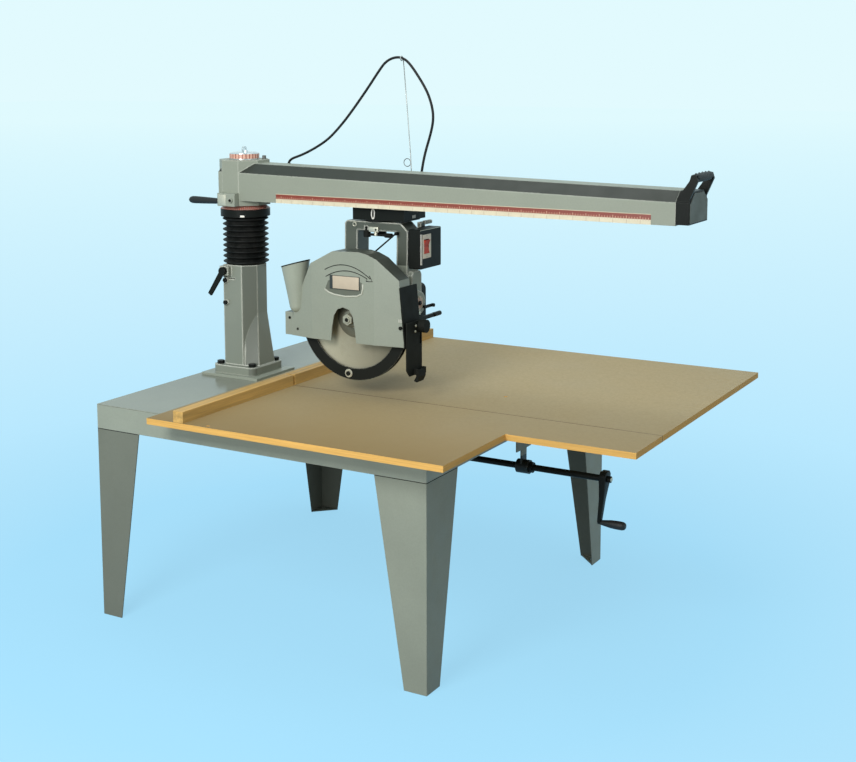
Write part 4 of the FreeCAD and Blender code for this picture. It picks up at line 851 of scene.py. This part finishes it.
def curve_through(left, peak, right, count=24):
    """Points of a smooth bow through three (y, z) spots."""
    points = []
    for k in range(count + 1):
        y = left[0] + (right[0] - left[0]) * k / count
        a = (y - peak[0]) * (y - right[0]) / ((left[0] - peak[0]) * (left[0] - right[0]))
        b = (y - left[0]) * (y - right[0]) / ((peak[0] - left[0]) * (peak[0] - right[0]))
        c = (y - left[0]) * (y - peak[0]) / ((right[0] - left[0]) * (right[0] - peak[0]))
        points.append((y, a * left[1] + b * peak[1] + c * right[1]))
    return points


# The dark line where each leg meets the apron, on its two outer faces.
LEG_ACROSS, LEG_ALONG = 0.212, 0.199
SEAM, PROUD = 0.0022, 0.0005
apron_low, apron_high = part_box("frame_apron")
for a in (-1, 1):
    for b in (-1, 1):
        name = f"leg_seam_{'front' if b < 0 else 'back'}_{'left' if a < 0 else 'right'}"
        x, y = a * apron_high.x, b * apron_high.y
        for face, span_x, span_y in (("y", (x - a * LEG_ACROSS, x), (y, y + b * PROUD)),
                                     ("x", (x, x + a * PROUD), (y - b * LEG_ALONG, y))):
            (x0, x1), (y0, y1) = sorted(span_x), sorted(span_y)
            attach(slab(f"{name}_{face}", (x0, y0, apron_low.z - SEAM),
                         (x1, y1, apron_low.z), flat_black, 0.0), "stand")

# Column: gib screws at the back corner and the pointer of the miter scale.
for number, height in enumerate((1.222, 1.130), 1):
    spot = (column.x - 0.0775, column.y + 0.045, height)
    boss = 0.006
    head(f"gib_boss_{number}", spot, LEFT, 0.0125, boss, column_paint, "stand", 24)
    spot = (spot[0] - boss, spot[1], spot[2])
    head(f"gib_nut_{number}", spot, LEFT, 0.0105, 0.009, black_paint, "stand")
collar_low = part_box("column_collar")[0]
collar_radius = 0.1008
facing = Vector((-0.868, -0.4965, 0.0))
side_way = Vector((0.4965, -0.868, 0.0))
spot = Vector((column.x, column.y, collar_low.z + 0.005)) + facing * collar_radius
corners = []
for out_by in (0.0, 0.0016):
    for u, w in ((-0.009, -0.004), (0.009, -0.004), (0.009, 0.004), (-0.009, 0.004)):
        corners.append(spot + facing * out_by + side_way * u + Vector((0, 0, w)))
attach(soften(make("scale_pointer", corners,
                    [(0, 1, 2, 3), (4, 5, 6, 7), (0, 1, 5, 4), (1, 2, 6, 5), (2, 3, 7, 6),
                     (3, 0, 4, 7)], white_mark), 0.0004), "column")

# Arm: a ruled band round the cap, a stop knob, the lock's light plate and screw, the pale
# line where the end cap starts and the two screws of the pull handle's bracket.
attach(lathe("cap_band", [(0.004, 0.0594), (0.0045, 0.0606), (0.0225, 0.0606),
                           (0.023, 0.0594)], (column.x, column.y, head_top), UP,
              cap_scale, 72, caps=False), "arm")
head("head_stop_knob", (column.x + 0.040, 0.482, head_top), UP, 0.008, 0.015, iron,
     "arm", 20)
block("lock_face", (-0.1268, 0.554, 0.004), (-0.126, 0.592, 0.047), light_steel, 0.0004,
      "arm")
head("lock_screw", at(-0.134, 0.527, 0.025), LEFT, 0.0062, 0.004, flat_black, "arm")
cap_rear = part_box("end_cap")[1].y
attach(slab("cap_seam", (arm_low.x - 0.0004, cap_rear - 0.0004, beam_low + 0.004),
             (arm_low.x + 0.0004, cap_rear + 0.0016, head_low + 0.1015), seam_paint,
             0.0002), "arm")
for number, y in enumerate((-1.3345, -1.3575), 1):
    head(f"bracket_screw_{number}", at(-0.0895, y, 0.082), LEFT, 0.0065, 0.004,
         light_steel, "arm")

# Carriage: the oval sight of the rip scale and a bare plate on its front.
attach(tube("rip_sight", oval(-0.0615, -0.103, -0.003, 0.0065, 0.0185, 36), 0.0024,
             white_mark, 8, closed=True), "carriage")
block("carriage_plate", (0.004, -0.2412, -0.019), (0.026, -0.2399, -0.007), white_mark, 0.0004,
      "carriage")

# Yoke: the index latch with its stem and rod, an eye on the corner, the switch's plates,
# screws and trim, the bevel latch's tab, the bevel pointer and the hub of its dial.
block("index_latch", (-0.0505, -0.118, -0.0745), (-0.0419, -0.077, -0.0545), light_steel,
      0.0012, "yoke")
# A dark disc painted as the shade in the latch's hole.
head("index_latch_hole", at(-0.0505, -0.108, -0.0645), LEFT, 0.0038, 0.0012, flat_black,
     "yoke", 16)
head("index_stem", at(-0.0462, -0.106, -0.0745), (0, 0, -1), 0.0072, 0.014, light_steel,
     "yoke")
rod_low, rod_high = at(-0.0605, -0.1056, -0.152), at(-0.0605, -0.2035, -0.0735)
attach(tube("index_rod", [rod_low, rod_low.lerp(rod_high, 0.5), rod_high], 0.0032,
             black_paint, 10), "yoke")
block("index_rod_foot", (-0.0640, -0.2085, -0.080), (-0.0415, -0.1985, -0.068), black_paint,
      0.001, "yoke")
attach(tube("yoke_eye", oval(-0.0440, -0.008, -0.049, 0.0075, 0.0075, 24), 0.0022,
             light_steel, 8, closed=True), "yoke")
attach(surround("switch_plate", (-0.0505, -0.164, 0.0125, -0.073),
                 (-0.0405, -0.1465, -0.0025, -0.0915), -0.3166, -0.3149, cream_plate), "yoke")
block("switch_strip", (-0.0665, -0.3163, -0.187), (-0.0545, -0.3149, -0.070), white_mark,
      0.0004, "yoke")
for number, z in enumerate((-0.158, -0.0785), 1):
    head(f"switch_screw_{number}", at(-0.0195, -0.3165, z), FRONT, 0.0028, 0.0012,
         light_steel, "yoke", 12)
block("switch_trim", (-0.068, -0.3158, -0.0565), (0.088, -0.3148, -0.0545), light_steel,
      0.0002, "yoke")
block("latch_tab", (-0.071, -0.2925, -0.386), (-0.026, -0.2845, -0.369), light_steel, 0.001,
      "yoke")
pointer = [(column.x - 0.020, head_low - 0.313), (column.x - 0.012, head_low - 0.313),
           (column.x - 0.016, head_low - 0.327)]
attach(extruded("bevel_pointer", pointer, -0.2838, -0.2812, "Y", white_mark, 0.0003), "yoke")
head("bevel_hub", at(-0.016, -0.2815, -0.340), FRONT, 0.0095, 0.006, black_paint, "motor")

# Blade housing: the turning arrow, the bare recessed plate, the small fixings and marks.
near_face = -0.2381
upper_bow = curve_through((0.003, -0.2022), (-0.092, -0.1795), (-0.199, -0.224))
lower_bow = curve_through((-0.0015, -0.2286), (-0.095, -0.2010), (-0.1855, -0.2250))
arrow = [(-0.1855, -0.2250), (-0.1815, -0.2335), (-0.2085, -0.2335), (-0.1955, -0.2120)]
for name, bow in (("turn_line_upper", upper_bow), ("turn_line_lower", lower_bow),
                  ("turn_arrow", arrow)):
    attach(tube(name, [at(near_face, y, z) for y, z in bow], 0.0016, flat_black, 6), "motor")
# A dark sheet painted as the shade in the plate's recess, and a pale lip painted as the light on
# its lower rim.
pocket_edge = [(y, head_low + z) for y, z in (
    (0.003, -0.278), (-0.012, -0.243), (-0.036, -0.236), (-0.150, -0.236), (-0.166, -0.245),
    (-0.162, -0.281), (-0.140, -0.291), (-0.090, -0.296), (-0.036, -0.292))]
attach(extruded("plate_pocket", pocket_edge, column.x - 0.2384, column.x - 0.2378, "X",
                 pocket_shade, 0.0), "motor")
rim_points = [(0.004, -0.277), (-0.014, -0.287), (-0.040, -0.2945), (-0.090, -0.2985),
              (-0.140, -0.2935), (-0.162, -0.283), (-0.167, -0.262), (-0.166, -0.246)]
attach(tube("plate_lip", [at(near_face, y, z) for y, z in rim_points], 0.0034, seam_paint, 8),
        "motor")
block("plate_block", (-0.2415, -0.1535, -0.2725), (-0.2379, -0.0205, -0.2205), dark_plate,
      0.001, "motor")
block("bare_label", (-0.2424, -0.1515, -0.2700), (-0.2414, -0.0350, -0.2220), bare_plate,
      0.0004, "motor")
head("housing_clamp_screw", at(-0.2060, 0.190, -0.408), LEFT, 0.0058, 0.004, flat_black,
     "motor")
block("housing_seam", (-0.2066, 0.1728, -0.475), (-0.2056, 0.1748, -0.387), flat_black, 0.0,
      "motor")
head("housing_latch_knob", at(-0.2236, -0.3215, -0.4000), LEFT, 0.0066, 0.007,
     flat_black, "motor", 20)
for number in range(3):
    inward, y = 0.0008 * number, -0.316 - 0.0055 * number
    block(f"housing_mark_{number + 1}", (-0.2262 + inward, y, -0.379),
          (-0.2226 + inward, y + 0.0016, -0.367), white_mark, 0.0, "motor")

# Dust spout: a widening sleeve with a round foot and a slanted mouth; its bore and the lip of the
# mouth are painted black as the shade inside it.
SPOUT_X, SPOUT_Y, SPOUT_LEAN = -0.211, 0.150, 0.0055
SPOUT_SIDES, SPOUT_RINGS, FOOT_RINGS = 48, 10, 7


def mouth(y, drop=0.0):
    """The height of the slanted mouth at a place along the arm, less a drop."""
    return -0.1750 - drop - (y - 0.100) * 0.286


def sleeve(name, radius_low, radius_high, foot, drop, material, rounded):
    """A sleeve up to the slanted mouth; its foot is a half ball or a flat floor."""
    verts = []

    def ring(y, height, radius):
        for k in range(SPOUT_SIDES):
            a = 2 * math.pi * k / SPOUT_SIDES
            spot_y = y + radius * math.sin(a)
            verts.append(at(SPOUT_X + radius * math.cos(a), spot_y, height(spot_y)))
    if rounded:
        for step in range(1, FOOT_RINGS):
            a = math.pi / 2 * step / FOOT_RINGS
            ring(SPOUT_Y, lambda y, a=a: foot - radius_low * math.cos(a),
                 radius_low * math.sin(a))
    for step in range(SPOUT_RINGS + 1):
        share = step / SPOUT_RINGS
        ring(SPOUT_Y + SPOUT_LEAN * share,
             lambda y, share=share: foot + share * (mouth(y, drop) - foot),
             radius_low + (radius_high - radius_low) * share)
    faces = skin(len(verts) // SPOUT_SIDES, SPOUT_SIDES)
    faces.append(tuple(reversed(range(SPOUT_SIDES))))
    obj = make(name, verts, faces, material, True)
    obj.data.set_sharp_from_angle(angle=math.radians(50))
    return obj


spout = sleeve("spout_sleeve", 0.0300, 0.0550, -0.3535, 0.0, spout_paint, True)
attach(spout, "motor")
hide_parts("dust_spout")
bore = sleeve("spout_bore", 0.0270, 0.0525, -0.300, 0.0005, flat_black, False)
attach(bore, "motor")
lip = []
lip_radius, lip_drop = 0.0540, 0.0018
for k in range(SPOUT_SIDES):
    a = 2 * math.pi * k / SPOUT_SIDES
    y = SPOUT_Y + SPOUT_LEAN + lip_radius * math.sin(a)
    lip.append(at(SPOUT_X + lip_radius * math.cos(a), y, mouth(y, lip_drop)))
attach(tube("spout_lip", lip, 0.0024, flat_black, 10, closed=True), "motor")

# The thick round-ended grip of the miter lock.
grip_low, grip_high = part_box("miter_lock_handle")
grip = lathe("miter_grip", [(0.0, 0.0095), (0.040, 0.0100), (0.058, 0.0118), (0.115, 0.0138),
                            (0.162, 0.0149), (0.178, 0.0146), (0.188, 0.0118), (0.194, 0.0066),
                            (0.196, 0.0008)],
             ((grip_low.x + grip_high.x) / 2, grip_low.y + 0.0005,
              (grip_low.z + grip_high.z) / 2), (0, 1, 0), plastic, 40)
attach(grip, "miter_lock")
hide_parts("miter_lock_handle")

# Blade: a dark disc painted as the shade in the socket of the arbor's end, the outer flange behind
# its nut and the thin plate.
ARBOR_Y, ARBOR_Z = -0.098, -0.386
head("arbor_socket", at(-0.2455, ARBOR_Y, ARBOR_Z), LEFT, 0.0085, 0.0012, flat_black,
     "blade")
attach(lathe("outer_flange", [(0.0, 0.0205), (0.0, 0.033), (0.003, 0.033), (0.0055, 0.029),
                               (0.0055, 0.0205)],
              at(-0.2165, ARBOR_Y, ARBOR_Z), LEFT, flange_steel, 56, caps=False),
        "blade")
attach(lathe("stiffening_plate", [(0.0, 0.0385), (0.0, 0.076), (0.0016, 0.076),
                                   (0.0022, 0.0745), (0.0022, 0.0385)],
              at(-0.1877, ARBOR_Y, ARBOR_Z), LEFT, flange_steel, 72, caps=False),
        "blade")

# Ring guard: the clamp washer and its bolt.
BOLT_Y, BOLT_Z = -0.0746, -0.6013
head("ring_washer", at(-0.1970, BOLT_Y, BOLT_Z), LEFT, 0.0165, 0.0028, light_steel,
     "ring_guard", 32)
head("ring_bolt", at(-0.1998, BOLT_Y, BOLT_Z), LEFT, 0.0092, 0.007, flat_black,
     "ring_guard")

# Kickback bar: two fixing screws.
for number, (x, z) in enumerate(((-0.157, -0.3994), (-0.1623, -0.4197)), 1):
    head(f"stop_screw_{number}", at(x, -0.3473, z), FRONT, 0.0048, 0.003, light_steel,
         "stop_bar", 16)

# Crank: a drop-shaped arm that leans in and thins towards its round-ended grip, and its bolt.
HUB_Z, CRANK_FRONT, CRANK_REAR, CRANK_REACH = 0.608, -1.058, -1.033, 0.165
drop = [(0.016, 0.0285), (0.0265, 0.016), (0.0275, -0.010), (0.019, -0.042), (0.0125, -0.078),
        (0.0110, -0.160), (0.0060, -0.172)]
outline = [(column.x + x, HUB_Z + z) for x, z in drop + [(-x, z) for x, z in reversed(drop)]]
arm = extruded("crank_drop", outline, CRANK_FRONT, CRANK_REAR, "Y", black_paint, 0.0022)
for vertex in arm.data.vertices:
    lean = min(max((HUB_Z - vertex.co.z) / CRANK_REACH, 0.0), 1.0)
    in_front = vertex.co.y < (CRANK_FRONT + CRANK_REAR) / 2
    vertex.co.y += lean * (0.024 if in_front else 0.012)
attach(arm, "crank")
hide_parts("crank_arm")
head("crank_bolt", (column.x, -1.0698, HUB_Z), FRONT, 0.0085, 0.003, light_steel,
     "crank", 16)
grip_low, grip_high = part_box("crank_grip")
grip = lathe("crank_pull", [(0.0, 0.0085), (0.012, 0.0105), (0.040, 0.0146), (0.066, 0.0159),
                            (0.084, 0.0156), (0.092, 0.0135), (0.096, 0.0095), (0.0970, 0.001)],
             ((grip_low.x + grip_high.x) / 2, grip_high.y, (grip_low.z + grip_high.z) / 2),
             FRONT, plastic, 36)
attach(grip, "crank_handle")
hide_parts("crank_grip")
